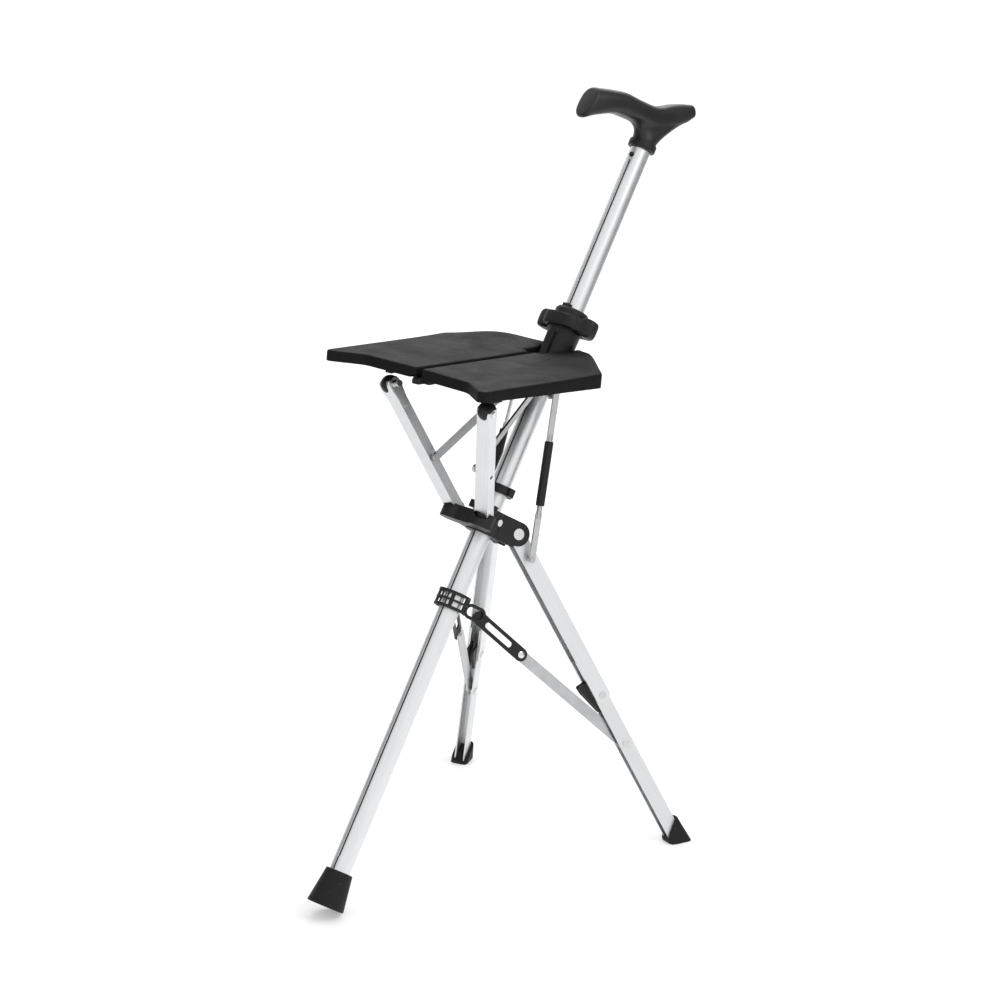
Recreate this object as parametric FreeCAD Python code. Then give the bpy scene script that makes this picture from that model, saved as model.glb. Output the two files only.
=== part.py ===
import FreeCAD, Part
import math
import os

# Walking stick seat: a cane whose seat, two struts and two rear legs fold out into a tripod.
# Everything is drawn with the stick upright: +Z up the stick, +X to the seat's front, +Y to the near side.
# The finished pieces are leaned back about Y until the ferrule's edge and both feet stand on the floor.

V = FreeCAD.Vector
X_AXIS = V(1, 0, 0)
Y_AXIS = V(0, 1, 0)
Z_AXIS = V(0, 0, 1)
ORIGIN = V(0, 0, 0)

# Driving dimensions, in millimetres and degrees
stick_lean = 35.0          # stick from the vertical, opened
tube_r = 10.0
tube_wall = 1.3
tube_top = 787.0           # height along the stick of the tube's upper end
tube_end_in_ferrule = 24.0
groove_width = 2.6
groove_depth = 0.7
groove_start = 60.0        # along the stick
groove_end_gap = 14.0      # from the tube's upper end
running_gap = 0.15         # radial, of what slides on the tube
fixed_gap = 0.05           # radial, of what is fixed on the tube
pin_gap = 0.05             # radial, of a pin in its bore
clear = 0.4                # between pieces that pass each other
rivet_r = 2.0
past = 20.0                # how far a cutting shape reaches beyond the piece it cuts

ferrule_r = 18.0
ferrule_top_r = 13.2
ferrule_height = 35.0
ferrule_edge = 1.4
ferrule_rim = 6.0          # height of the nearly upright rim
ferrule_taper = 0.7        # the rim's narrowing
ferrule_lip = 1.5
tread_radii = (5.0, 9.5, 13.5)
tread_half = 0.9
tread_depth = 1.6
washer_thick = 1.6
washer_gap = 0.2

hub_z = 400.0
hub_height = 24.0
hub_sleeve_r = 15.5
hub_pin_z = hub_z + 3.0
hub_pin_r = 2.0
hub_head_r = 3.4
hub_head_high = 0.7
hub_nose_long = 34.0
hub_nose_half = 17.0
cup_r = 11.5
cup_low = 1.0              # above the hub's underside
cup_high = 15.0
boss_x = 11.5
boss_y = 12.0
boss_r = 4.2
boss_rise = 3.0
boss_root = 4.0
web_long = 20.0
web_half = 9.0
stop_ring_z = 433.0
stop_ring_height = 8.0
stop_ring_r = 14.2
stop_lug_half = 4.0
stop_lug_out = 7.5         # from the tube's face
stop_lug_edge = 2.0
tie_ring_z = 537.0
tie_ring_height = 9.0
tie_ring_wall = 3.4
ring_flat = 12.1           # flat of a ring where the folded spine passes
runner_z = 548.0
runner_height = 8.0
runner_wall = 3.2

strut_foot = V(27, 18, hub_z)
strut_top = V(132.1, 60, 476.4)
strut_sweep_end = V(14, 6, 37)     # where the folding strut passes, from its foot
strut_width = 15.0
strut_depth = 10.0
strut_wall = 1.3
knuckle_r = 8.9
stay_share = 0.415         # where on the strut the stay is riveted
stay_width = 7.5
stay_thick = 2.0
stay_offset = 11.2         # stay's middle from the strut's middle plane
stay_head_r = 3.2
stay_ball_r = 1.8
stay_stub_r = 1.9
stay_stub = 4.4
runner_ear = V(14.5, 11.5, runner_z)
runner_eye_r = 3.6
runner_ear_in = 4.8
runner_ear_out = 9.2
stay_pin_lean = V(-0.266, 0.964, -0.026)

leg_plane = 26.3           # swing plane of a leg, from straight back
leg_open = 55.0            # leg from the stick, opened
leg_pivot_r = 31.7
leg_pivot_z = hub_z + 1.6
leg_width = 14.0
leg_depth = 16.0
leg_wall = 1.4
leg_upper_end = 181.8      # along the leg, rivet at the upper channel's end
leg_lower_start = 140.0
leg_shoe = 9.0             # lower channel's end above the floor, along the leg
nest_gap = 0.2             # between the nested channels
lower_width = leg_width - 2 * leg_wall - 2 * nest_gap
lower_depth = leg_depth - leg_wall - nest_gap
lower_shift = -(leg_depth - lower_depth) / 2
cheek_thick = 2.3
cheek_edge = 1.6
cheek_profile = (           # across the channel, along the leg
    (-3.8, 163.0),
    (-16.8, 163.0),
    (-16.0, 171.0),
    (-9.0, 197.0),
    (-3.8, 197.0))
foot_steps = (              # inner face, outer face, half width, height above the floor, corner rounding
    (-9.8, 9.6, 8.6, 23.0, 2.6),
    (-10.6, 11.6, 9.4, 9.0, 3.0))
foot_split = 4.8           # notch between the foot's two prongs
foot_split_high = 5.0
bar_pin_at = 237.4         # along the leg
bar_pin_offset = -1.2
bar_width = 11.0
bar_thick = 2.0
ear_r = 11.5
ear_thick = 3.6
ear_gap = 0.4
ear_rise = 1.0             # above the hub's upper face
pivot_pin_r = 2.6
pivot_head_r = 5.4
pivot_tail_r = 4.4
pivot_head_high = 0.9

tie_offset = 13.3          # tie's middle plane from the leg's middle plane, at its foot
tie_foot_z = 384.8
tie_foot_r = 53.6
tie_head = V(8, 25, tie_ring_z + 1.0)
tie_pin_r = 1.7
tie_boss_r = 3.4
tie_boss_long = 7.0
tie_width = 6.0
tie_thick = 2.0
sleeve_r = 4.2
sleeve_from = 0.32         # along the tie, from its foot
sleeve_to = 0.70

band_z = 319.0
band_height = 17.0
band_thick = 3.0
band_wing = 1.7
band_inner_r = 13.0
band_open_x = 9.5
band_lip_half = 4.0
band_slot_r = 3.4
band_window_in = 2.2       # from the middle plane
band_window_out = 9.0
band_window_half = 2.0
band_window_z = 4.2        # above and below the band's middle
arm_hinge_r = 31.0
arm_hinge_drop = 4.0
arm_slope = 15.1           # arm below the stick's normal plane
arm_length = 56.8
arm_width = 13.0
arm_layer = 1.35           # arm's inner face from the leg's middle plane
arm_thick = 1.8
arm_slot_r = 3.0
arm_eye_r = 3.4

collar_foot_z = 578.0
seat_pitch = 27.55         # seat line below the stick's normal plane
seat_rear = V(-5.8, 0, collar_foot_z + 4.4)
seat_thick = 9.5           # at the front
seat_thick_rear = 12.5
seat_skin = 3.2
seat_rim = 3.0
seat_rib = 1.8
rib_short = 1.0            # ribs end above the skirt's lower edge
seat_gap = 3.3             # half the slot between the two halves
seat_edge = 2.0
skirt_rear = 60.0          # along the seat, where the rear depth starts to fall
skirt_front = 205.0        # and where the front depth is reached
hinge_strip = 8.0          # solid strip beside the fold line
relief_w = -7.0            # underside of the inner strip, which swings down beside the spine
relief_gap = 1.6
relief_long = 185.0
relief_wide = 24.0
notch_at = 7.0             # rear notch for the tube, along the seat
notch_gap = 9.5
lug_room_long = 44.0
lug_room_wide = 11.0
fold_y = 7.2
fold_w = -4.0
knuckle_fold_r = 2.6
fold_skin = 1.0
fold_pin_r = 1.5
spine_top = -9.6
spine_low = -14.1
spine_half = 4.0
spine_end = 204.0
hinge_places = (52.0, 108.0, 192.0)
hinge_long = 9.0
cheek_out = 7.2            # spine's cheeks beside the collar's lug
cheek_gap = 0.35
cheek_eye_r = 4.6
cheek_long = 18.0
spine_join = 12.0          # from the seat pin
spine_join_long = 12.0
yoke_drop = 6.7
yoke_inner = 1.5

block_a0 = 160.0
block_a1 = block_a0 + 18.0
block_y0 = 49.0
block_y1 = 71.0
block_step = 61.8
block_inset = 1.5
block_pad = 4.0            # solid seat round the block
block_mid = -13.2
block_low = -20.8
block_gap = 0.1            # under the seat's skirt, whose depth falls towards the front
skirt_fall = (seat_thick_rear - seat_thick) / (skirt_front - skirt_rear)
block_top = round(seat_thick_rear - skirt_fall * (block_a0 - skirt_rear), 1) + block_gap
block_short = block_a0 + 9.5   # far block's lower step ends early, to let its strut's capped pin swing

collar_sleeve_r = 14.6
knob_z = 598.0
knob_height = 20.0
lug_half = 3.4
seat_pin = V(16, 0, collar_foot_z - 19)
seat_pin_r = 2.5
seat_pin_half = 7.6
seat_pin_head_r = 4.0
seat_pin_head = 1.2

wing_z = knob_z + 6.0
wing_half = 4.0
wing_travel = 3.0
release_ring_r = 13.4
release_gap = 0.6
wing_sections = (           # out from the stick, height, depth: two of the arm, four of the wing
    (11.0, 8.0, 9.6),
    (17.0, 8.0, 9.6),
    (19.0, 15.0, 14.0),
    (25.0, 18.5, 17.0),
    (31.0, 16.0, 15.0),
    (33.5, 9.0, 9.0))
spring_height = 2.6
spring_strip = 0.8
shoe_out = 14.4
shoe_half = 3.0
shoe_travel = 0.8
shoe_gap = 0.2
shoe_z1 = wing_z - wing_half - 1.8
shoe_z0 = shoe_z1 - 6.4

handle_twist = -14.0
ring_z = 787.5
ring_height = 8.0
ring_r = 15.6
ring_edge = 1.2
stem_r = tube_r - tube_wall - fixed_gap
stem_wall = 1.4
stem_long = 42.0           # below the snap button
stem_in_grip = 13.5
button_r = 2.2
button_z = tube_top - 8.5
button_travel = 2.2
button_out = 1.0           # above the tube's face
leaf_thick = 0.7
leaf_wide = 5.0

handle_sections = (         # along the handle, middle height, height, width, tilt
    (-40.0, 847.5, 7.0, 9.0, 40.0),
    (-32.0, 842.5, 17.0, 16.5, 36.0),
    (-17.0, 832.0, 22.0, 23.0, 26.0),
    (3.0, 820.5, 22.5, 27.0, 8.0),
    (26.0, 817.0, 21.5, 30.0, 0.0),
    (47.0, 813.8, 24.5, 31.5, -8.0),
    (65.0, 805.8, 31.0, 30.5, -14.0),
    (79.0, 798.5, 31.5, 27.0, -12.0))
neck_circles = (            # back from the stick's middle, above the ring, radius
    (0.0, 0.0, 14.6),
    (0.6, 9.0, 13.2),
    (2.0, 20.0, 13.6),
    (3.0, 27.0, 11.5))

seat_corners = (            # plan of the near half: along the middle line, across, rounding
    (-3.0, seat_gap, 1.0),
    (201.0, seat_gap, 3.0),
    (203.0, 63.0, 18.0),
    (222.5, 92.0, 4.0),
    (219.5, 98.0, 4.0),
    (59.0, 99.0, 9.0),
    (-3.0, 21.0, 6.0))
cross_ribs = (36.0, 68.0, 100.0, 132.0, 196.0)
long_ribs = (34.0, 82.0)


# Small tools


def box(x0, x1, y0, y1, z0, z1):
    corner = V(min(x0, x1), min(y0, y1), min(z0, z1))
    return Part.makeBox(abs(x1 - x0), abs(y1 - y0), abs(z1 - z0), corner)


def rod(start, end, radius):
    along = end - start
    return Part.makeCylinder(radius, along.Length, start, along)


def across(centre, radius, y0, y1):
    return rod(V(centre.x, y0, centre.z), V(centre.x, y1, centre.z), radius)


def sleeve(outer, inner, z0, z1):
    return rod(V(0, 0, z0), V(0, 0, z1), outer).cut(rod(V(0, 0, z0 - 1), V(0, 0, z1 + 1), inner))


def fuse(first, *others):
    return first.multiFuse(list(others)).removeSplitter()


def plate(points, thickness, direction):
    face = Part.Face(Part.makePolygon(points + [points[0]]))
    return face.extrude(direction * thickness)


def framed(shape, origin, x_dir, y_dir, z_dir):
    matrix = FreeCAD.Matrix(
        x_dir.x, y_dir.x, z_dir.x, origin.x,
        x_dir.y, y_dir.y, z_dir.y, origin.y,
        x_dir.z, y_dir.z, z_dir.z, origin.z,
        0, 0, 0, 1)
    placed = shape.copy()
    placed.Placement = FreeCAD.Placement(matrix).multiply(placed.Placement)
    return placed


def far(shape):
    return shape.mirror(ORIGIN, Y_AXIS)


def pair(shape):
    return [shape, far(shape)]


def cut_all(body, cutters):
    for cutter in cutters:
        body = body.cut(cutter)
    return body


def upright_edges(shape, taller_than=0.0):
    return [e for e in shape.Edges if e.BoundBox.ZLength > taller_than
            and e.BoundBox.XLength < 0.01 and e.BoundBox.YLength < 0.01]


def stadium(x_half, z0, z1, y0, y1):
    # A bar in the XZ plane with both ends rounded about (0, z0) and (0, z1)
    body = box(-x_half, x_half, y0, y1, z0, z1)
    return fuse(body, across(V(0, 0, z0), x_half, y0, y1), across(V(0, 0, z1), x_half, y0, y1))


def channel(width, depth, wall, z0, z1, web_side, shift=0.0):
    # U section with rounded flange ends, open on the side away from its web
    half = depth / 2
    solid = stadium(half, z0, z1, -width / 2, width / 2)
    inside = width / 2 - wall
    reach = half + 1
    if web_side > 0:
        hollow = box(-reach, half - wall, -inside, inside, z0 - reach, z1 + reach)
    else:
        hollow = box(-half + wall, reach, -inside, inside, z0 - reach, z1 + reach)
    shape = solid.cut(hollow)
    shape.translate(V(shift, 0, 0))
    return shape


# Floor contact

lean = math.radians(stick_lean)
ferrule_z = ((ferrule_r - ferrule_edge) * math.sin(lean) + ferrule_edge) / math.cos(lean) - ferrule_edge


plane_share = math.cos(math.radians(leg_plane))
pivot_above_floor = leg_pivot_z * math.cos(lean) - leg_pivot_r * plane_share * math.sin(lean)
fall_per_mm = (math.cos(math.radians(leg_open)) * math.cos(lean)
               + math.sin(math.radians(leg_open)) * plane_share * math.sin(lean))
leg_length = round(pivot_above_floor / fall_per_mm, 1)
leg_shoe_end = leg_length - leg_shoe


def floor_block():
    # Everything below the floor, in the upright drawing
    reach = tube_top + leg_length
    block = box(-reach, reach, -reach, reach, -reach, 0)
    block.rotate(ORIGIN, Y_AXIS, stick_lean)
    return block


# The stick

def make_main_tube():
    tube = sleeve(tube_r, tube_r - tube_wall, tube_end_in_ferrule, tube_top)
    groove = box(tube_r - groove_depth, tube_r + past, -groove_width / 2, groove_width / 2,
                 groove_start, tube_top - groove_end_gap)
    button_hole = rod(V(0, 0, button_z), V(past, 0, button_z), button_r + clear)
    return cut_all(tube, [groove, hub_pin_hole(), button_hole])


def hub_pin_hole():
    return across(V(0, 0, hub_pin_z), hub_pin_r + fixed_gap, -past, past)


def make_ferrule():
    # Half profile turned about the stick: sole, bead, rim, cone, lip
    low = ferrule_z
    top = ferrule_z + ferrule_height
    sole = V(ferrule_r - ferrule_edge, 0, low)
    bead = V(ferrule_r, 0, low + ferrule_edge)
    bead_middle = V(bead.x - ferrule_edge * (1 - math.sqrt(0.5)), 0, bead.z - ferrule_edge * math.sqrt(0.5))
    rim = V(ferrule_r - ferrule_taper, 0, low + ferrule_rim)
    cone = V(ferrule_top_r, 0, top - ferrule_lip)
    lip_middle = V(ferrule_top_r - ferrule_lip / 3, 0, top - ferrule_lip * 4 / 15)
    lip = V(ferrule_top_r - ferrule_lip, 0, top)
    profile = Part.Wire([
        Part.LineSegment(V(0, 0, low), sole).toShape(),
        Part.Arc(sole, bead_middle, bead).toShape(),
        Part.LineSegment(bead, rim).toShape(),
        Part.LineSegment(rim, cone).toShape(),
        Part.Arc(cone, lip_middle, lip).toShape(),
        Part.LineSegment(lip, V(0, 0, top)).toShape(),
        Part.LineSegment(V(0, 0, top), V(0, 0, low)).toShape()])
    body = Part.Face(profile).revolve(ORIGIN, Z_AXIS, 360)
    socket = rod(V(0, 0, tube_end_in_ferrule - washer_thick), V(0, 0, top + past), tube_r + fixed_gap)
    tread = [sleeve(radius + tread_half, radius - tread_half, low - past, low + tread_depth)
             for radius in tread_radii]
    return cut_all(body, [socket] + tread)


def make_ferrule_washer():
    return rod(V(0, 0, tube_end_in_ferrule - washer_thick), V(0, 0, tube_end_in_ferrule), tube_r - washer_gap)


def make_hub():
    z0 = hub_z - hub_height / 2
    z1 = hub_z + hub_height / 2
    core = rod(V(0, 0, z0), V(0, 0, z1), hub_sleeve_r)
    nose = box(0, hub_nose_long, -hub_nose_half, hub_nose_half, z0 + cup_low, z0 + cup_high)
    cup = rod(V(strut_foot.x, strut_foot.y, z0 + cup_low), V(strut_foot.x, strut_foot.y, z0 + cup_high),
              cup_r)
    web = box(-web_long, 0, -web_half, web_half, z0, z1 - boss_root)
    boss = rod(V(boss_x, boss_y, z1 - boss_root), V(boss_x, boss_y, z1 + boss_rise), boss_r)
    ears = []
    for low in (leg_width / 2 + ear_gap, -leg_width / 2 - ear_gap - ear_thick):
        ear = fuse(box(0, leg_pivot_r, low, low + ear_thick, z0, z1 + ear_rise),
                   across(leg_pivot(), ear_r, low, low + ear_thick))
        ears += pair(to_leg_plane(ear))
    body = fuse(core, nose, web, *pair(cup), *ears)
    body = fuse(body, *pair(boss))
    bore = rod(V(0, 0, z0 - past), V(0, 0, z1 + past), tube_r + fixed_gap)
    leg_room = box(leg_pivot_r - leg_depth / 2 - 3, leg_pivot_r + leg_depth * 3, -leg_width / 2 - ear_gap,
                   leg_width / 2 + ear_gap, z0 - past, z1 + past)
    head_room = rod(V(0, hub_sleeve_r, hub_pin_z), V(0, hub_sleeve_r + cup_r, hub_pin_z), hub_head_r + 0.1)
    cutters = [bore, hub_pin_hole()]
    for cutter in (Part.makeSphere(knuckle_r + clear, strut_foot), strut_sweep(), to_leg_plane(leg_room),
                   head_room, to_leg_plane(across(leg_pivot(), pivot_pin_r + pin_gap, -past * 2, past * 2))):
        cutters += pair(cutter)
    return cut_all(body, cutters)


def leg_pivot():
    return V(leg_pivot_r, 0, leg_pivot_z)


def to_leg_plane(shape):
    # Takes a piece drawn with X outwards in the leg's plane and -Y away from the stick's middle
    placed = shape.copy()
    placed.rotate(ORIGIN, Z_AXIS, 180 - leg_plane)
    return placed


def strut_sweep():
    # Room above the near cup for the strut between its two ends of travel
    opened = strut_dir * 40
    halfway = (opened + strut_sweep_end) * 0.5
    return fuse(*[rod(strut_foot, strut_foot + reach, knuckle_r + clear)
                  for reach in (opened, strut_sweep_end, halfway)])


def make_hub_pin():
    half = hub_sleeve_r + 1.0
    pin = across(V(0, 0, hub_pin_z), hub_pin_r, -half, half)
    head = across(V(0, 0, hub_pin_z), hub_head_r, hub_sleeve_r, half + hub_head_high)
    return fuse(pin, *pair(head))


def make_leg_pins():
    half = leg_width / 2 + ear_gap + ear_thick
    pin = across(leg_pivot(), pivot_pin_r, -half, half)
    head = across(leg_pivot(), pivot_head_r, -half - pivot_head_high, -half)
    tail = across(leg_pivot(), pivot_tail_r, half, half + pivot_head_high)
    return Part.makeCompound(pair(to_leg_plane(fuse(pin, head, tail))))


def make_stop_ring():
    half = stop_ring_height / 2
    ring = sleeve(stop_ring_r, tube_r + fixed_gap, stop_ring_z - half, stop_ring_z + half)
    lug = box(-stop_lug_half, stop_lug_half, tube_r + 1, tube_r + stop_lug_out, stop_ring_z - half,
              stop_ring_z + half)
    lug = lug.makeFillet(stop_lug_edge, upright_edges(lug))
    return fuse(ring, lug).cut(tube_bore(stop_ring_z, fixed_gap))


def tube_bore(z, gap):
    return rod(V(0, 0, z - past), V(0, 0, z + past), tube_r + gap)


def make_tie_ring():
    half = tie_ring_height / 2
    ring = sleeve(tube_r + tie_ring_wall, tube_r + fixed_gap, tie_ring_z - half, tie_ring_z + half)
    axis = tie_axis()
    arm = box(tie_head.x - 4, tie_head.x + 4, 8, tie_head.y - 4.5, tie_ring_z - half + 1,
              tie_ring_z + half - 1)
    boss = rod(tie_head - axis * tie_boss_long, tie_head - axis * (tie_thick / 2 + 0.3), tie_boss_r)
    pin_bore = rod(tie_head - axis * 6, tie_head + axis * 6, tie_pin_r + fixed_gap)
    body = fuse(ring, *pair(fuse(arm, boss)))
    return cut_all(body, [tube_bore(tie_ring_z, fixed_gap), spine_room(tie_ring_z)] + pair(pin_bore))


def spine_room(z):
    # Flat at the front of a ring, where the folded spine passes
    return box(ring_flat, ring_flat + past, -spine_half - clear, spine_half + clear, z - past, z + past)


def make_tie_pins():
    # Shoulder pins that carry the upper eyes of the two ties
    axis = tie_axis()
    end = tie_head + axis * (tie_thick / 2 + 0.5)
    pin = rod(tie_head - axis * 5.5, end, tie_pin_r)
    head = rod(end, end + axis * 0.9, 2.8)
    return Part.makeCompound(pair(fuse(pin, head)))


# The handle

def handle_section(p, z_mid, height, width, tilt):
    # Upright oval, its plane turned by tilt degrees about Y at the place p along the handle
    ellipse = Part.Ellipse(V(0, 0, 0), max(height, width) / 2, min(height, width) / 2)
    edge = ellipse.toShape()
    if height >= width:
        edge.rotate(ORIGIN, Y_AXIS, -90)
    else:
        edge.rotate(ORIGIN, Z_AXIS, 90)
        edge.rotate(ORIGIN, Y_AXIS, -90)
    edge.rotate(ORIGIN, Y_AXIS, tilt)
    edge.translate(V(p, 0, z_mid))
    return Part.Wire([edge])


def make_handle_grip():
    wires = [handle_section(*section) for section in handle_sections]
    grip = Part.makeLoft(wires, True, False)
    foot = ring_z + ring_height
    circles = [Part.Wire([Part.Circle(V(-back, 0, foot + up), Z_AXIS, radius).toShape()])
               for back, up, radius in neck_circles]
    neck = Part.makeLoft(circles, True, False)
    grip = grip.fuse(neck)
    grip.rotate(ORIGIN, Z_AXIS, handle_twist)
    socket = rod(V(0, 0, foot - 1), V(0, 0, foot + stem_in_grip + 0.5), stem_r + fixed_gap)
    return grip.cut(socket)


def make_handle_ring():
    ring = sleeve(ring_r, stem_r + fixed_gap, ring_z, ring_z + ring_height)
    outer = [e for e in ring.Edges if abs(e.BoundBox.XMax - ring_r) < 0.01 and e.BoundBox.ZLength < 0.01]
    return ring.makeFillet(ring_edge, outer)


def make_handle_stem():
    low = button_z - stem_long
    stem = rod(V(0, 0, low), V(0, 0, ring_z + ring_height + stem_in_grip), stem_r)
    bore = rod(V(0, 0, low - 1), V(0, 0, button_z + 10), stem_r - stem_wall)
    return stem.cut(bore).cut(rod(V(0, 0, button_z), V(past, 0, button_z), button_r + clear))


def make_snap_button():
    # The button's stem stands through the tube, its broad foot stays inside
    stem = rod(V(stem_r - 3.2, 0, button_z), V(tube_r + button_out, 0, button_z), button_r)
    cap = Part.makeSphere(button_r * 1.35, V(tube_r - 0.9, 0, button_z))
    cap = cap.common(rod(V(tube_r + 0.2, 0, button_z), V(tube_r + 4, 0, button_z), button_r))
    foot = rod(V(stem_r - 4.4, 0, button_z), V(stem_r - 3.2, 0, button_z), button_r + 1.0)
    return fuse(stem, cap, foot)


def make_snap_spring():
    # Bent leaf behind the button
    back = -(stem_r - stem_wall) + 0.9
    front = stem_r - 4.7 - button_travel
    path = [V(front - leaf_thick, 0, button_z + 6), V(front, 0, button_z + 6), V(front, 0, button_z - 8),
            V(-0.6, 0, button_z - 24), V(back, 0, button_z - 14), V(back, 0, button_z + 4),
            V(back + leaf_thick, 0, button_z + 4), V(back + leaf_thick, 0, button_z - 14),
            V(-0.6, 0, button_z - 22.4), V(front - leaf_thick, 0, button_z - 7.7)]
    leaf = plate(path, leaf_wide, Y_AXIS)
    leaf.translate(V(0, -leaf_wide / 2, 0))
    return leaf


# The slide collar

def make_collar_body():
    top = knob_z + knob_height
    head_r = collar_sleeve_r + 2.0
    body = rod(V(0, 0, collar_foot_z), V(0, 0, knob_z + 2), collar_sleeve_r)
    head = rod(V(0, 0, knob_z - 2), V(0, 0, top - 2.5), head_r)
    cap = Part.makeCone(head_r, head_r - 1.8, 2.5, V(0, 0, top - 2.5))
    tab = box(9, 14.2, -4, 4, top - 3, top + 3)
    lug = box(8, seat_pin.x + 3, -lug_half, lug_half, seat_pin.z, collar_foot_z + 12)
    eye = across(seat_pin, 5.2, -lug_half, lug_half)
    housing = box(8, shoe_out + 2.4, -shoe_half - 2.4, shoe_half + 2.4, shoe_z0 - 2.6, knob_z + 6)
    housing = housing.makeFillet(1.6, [e for e in housing.Edges if e.BoundBox.XMin > shoe_out])
    body = fuse(body, head, cap, tab, lug, eye, housing)
    bore = rod(V(0, 0, seat_pin.z - past), V(0, 0, top + past), tube_r + running_gap)
    body = body.cut(bore)
    body = body.cut(across(seat_pin, seat_pin_r + 0.02, -past, past))
    # Chamber for the release ring and its spring, slots for the wings, and the pocket of the brake shoe
    floor = wing_z - wing_half - clear
    roof = wing_z + wing_half + spring_height + wing_travel + clear
    body = body.cut(rod(V(0, 0, floor), V(0, 0, roof), release_ring_r + clear))
    slot = box(-5.4, 5.4, -past, past, floor, wing_z + wing_half + wing_travel + clear)
    body = body.cut(slot)
    shoe_room = box(tube_r - 1, shoe_out + shoe_travel + clear, -shoe_half - shoe_gap, shoe_half + shoe_gap,
                    shoe_z0 - shoe_gap, shoe_z1 + shoe_gap)
    return body.cut(shoe_room)


def make_release_wings():
    # A ring round the tube with a fat rounded wing at each side
    ring = sleeve(release_ring_r, tube_r + release_gap, wing_z - wing_half, wing_z + wing_half)
    sections = []
    for y, high, deep in wing_sections:
        rect = rounded_rect(deep, high, min(deep, high) * 0.32)
        rect.rotate(ORIGIN, X_AXIS, 90)
        rect.translate(V(0, y, wing_z))
        sections.append(rect)
    arm = Part.makeLoft(sections[:2], True, True)
    tip = Part.makeLoft(sections[2:], True, True)
    core = across(V(0, 0, wing_z), 3.6, wing_sections[1][0] - 1, wing_sections[2][0] + 1)
    body = fuse(ring, *pair(fuse(arm, tip, core)))
    return body.cut(tube_bore(wing_z, release_gap))


def rounded_rect(width, height, radius):
    half_w = width / 2
    half_h = height / 2
    inner_w = half_w - radius
    inner_h = half_h - radius
    diag = radius * math.sqrt(0.5)
    edges = []
    corners = ((1, 1), (-1, 1), (-1, -1), (1, -1))
    for index, (sx, sy) in enumerate(corners):
        centre = V(sx * inner_w, sy * inner_h, 0)
        start = centre + (V(sx * radius, 0, 0) if index % 2 == 0 else V(0, sy * radius, 0))
        end = centre + (V(0, sy * radius, 0) if index % 2 == 0 else V(sx * radius, 0, 0))
        middle = centre + V(sx * diag, sy * diag, 0)
        edges.append(Part.Arc(start, middle, end).toShape())
        nx, ny = corners[(index + 1) % 4]
        following = V(nx * inner_w, ny * inner_h, 0)
        following = following + (V(0, ny * radius, 0) if index % 2 == 0 else V(nx * radius, 0, 0))
        edges.append(Part.LineSegment(end, following).toShape())
    return Part.Wire(edges)


def make_release_spring():
    # Wave spring on the release ring: a thin ring with windows above and below
    low = wing_z + wing_half + 0.01
    ring = sleeve(tube_r + 2.7, tube_r + 1.2, low, low + spring_height)
    for angle in range(0, 360, 60):
        window = box(2, tube_r + past, -3.2, 3.2, low + spring_strip, low + spring_height + 1)
        if angle % 120:
            window = box(2, tube_r + past, -3.2, 3.2, low - 1, low + spring_height - spring_strip)
        window.rotate(ORIGIN, Z_AXIS, angle)
        ring = ring.cut(window)
    return ring


def make_brake_shoe():
    body = box(tube_r + 0.5, shoe_out, -shoe_half, shoe_half, shoe_z0, shoe_z1)
    tongue = box(tube_r - groove_depth + 0.25, tube_r + 0.7, -0.9, 0.9, shoe_z0, shoe_z1)
    return fuse(body, tongue)


def make_seat_pin():
    pin = across(seat_pin, seat_pin_r, -seat_pin_half, seat_pin_half)
    head = across(seat_pin, seat_pin_head_r, seat_pin_half, seat_pin_half + seat_pin_head)
    return fuse(pin, *pair(head))


# The seat, drawn flat with X along its middle line from the rear, then pitched

def to_seat(shape):
    placed = shape.copy()
    placed.rotate(ORIGIN, Y_AXIS, seat_pitch)
    placed.translate(seat_rear)
    return placed


def seat_local(point):
    # Place of an upright-drawing point in the seat's own drawing
    moved = point - seat_rear
    angle = math.radians(seat_pitch)
    return V(moved.x * math.cos(angle) - moved.z * math.sin(angle), moved.y,
             moved.x * math.sin(angle) + moved.z * math.cos(angle))


def seat_plan():
    points = [V(a, y, 0) for a, y, rounding in seat_corners]
    return Part.makePolygon(points + [points[0]])


def seat_blank(depth):
    blank = Part.Face(seat_plan()).extrude(V(0, 0, -depth))
    for a, y, rounding in seat_corners:
        upright = [e for e in blank.Edges if e.BoundBox.ZLength > depth / 2
                   and math.hypot(e.CenterOfMass.x - a, e.CenterOfMass.y - y) < 0.05]
        blank = blank.makeFillet(rounding, upright)
    return blank


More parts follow.
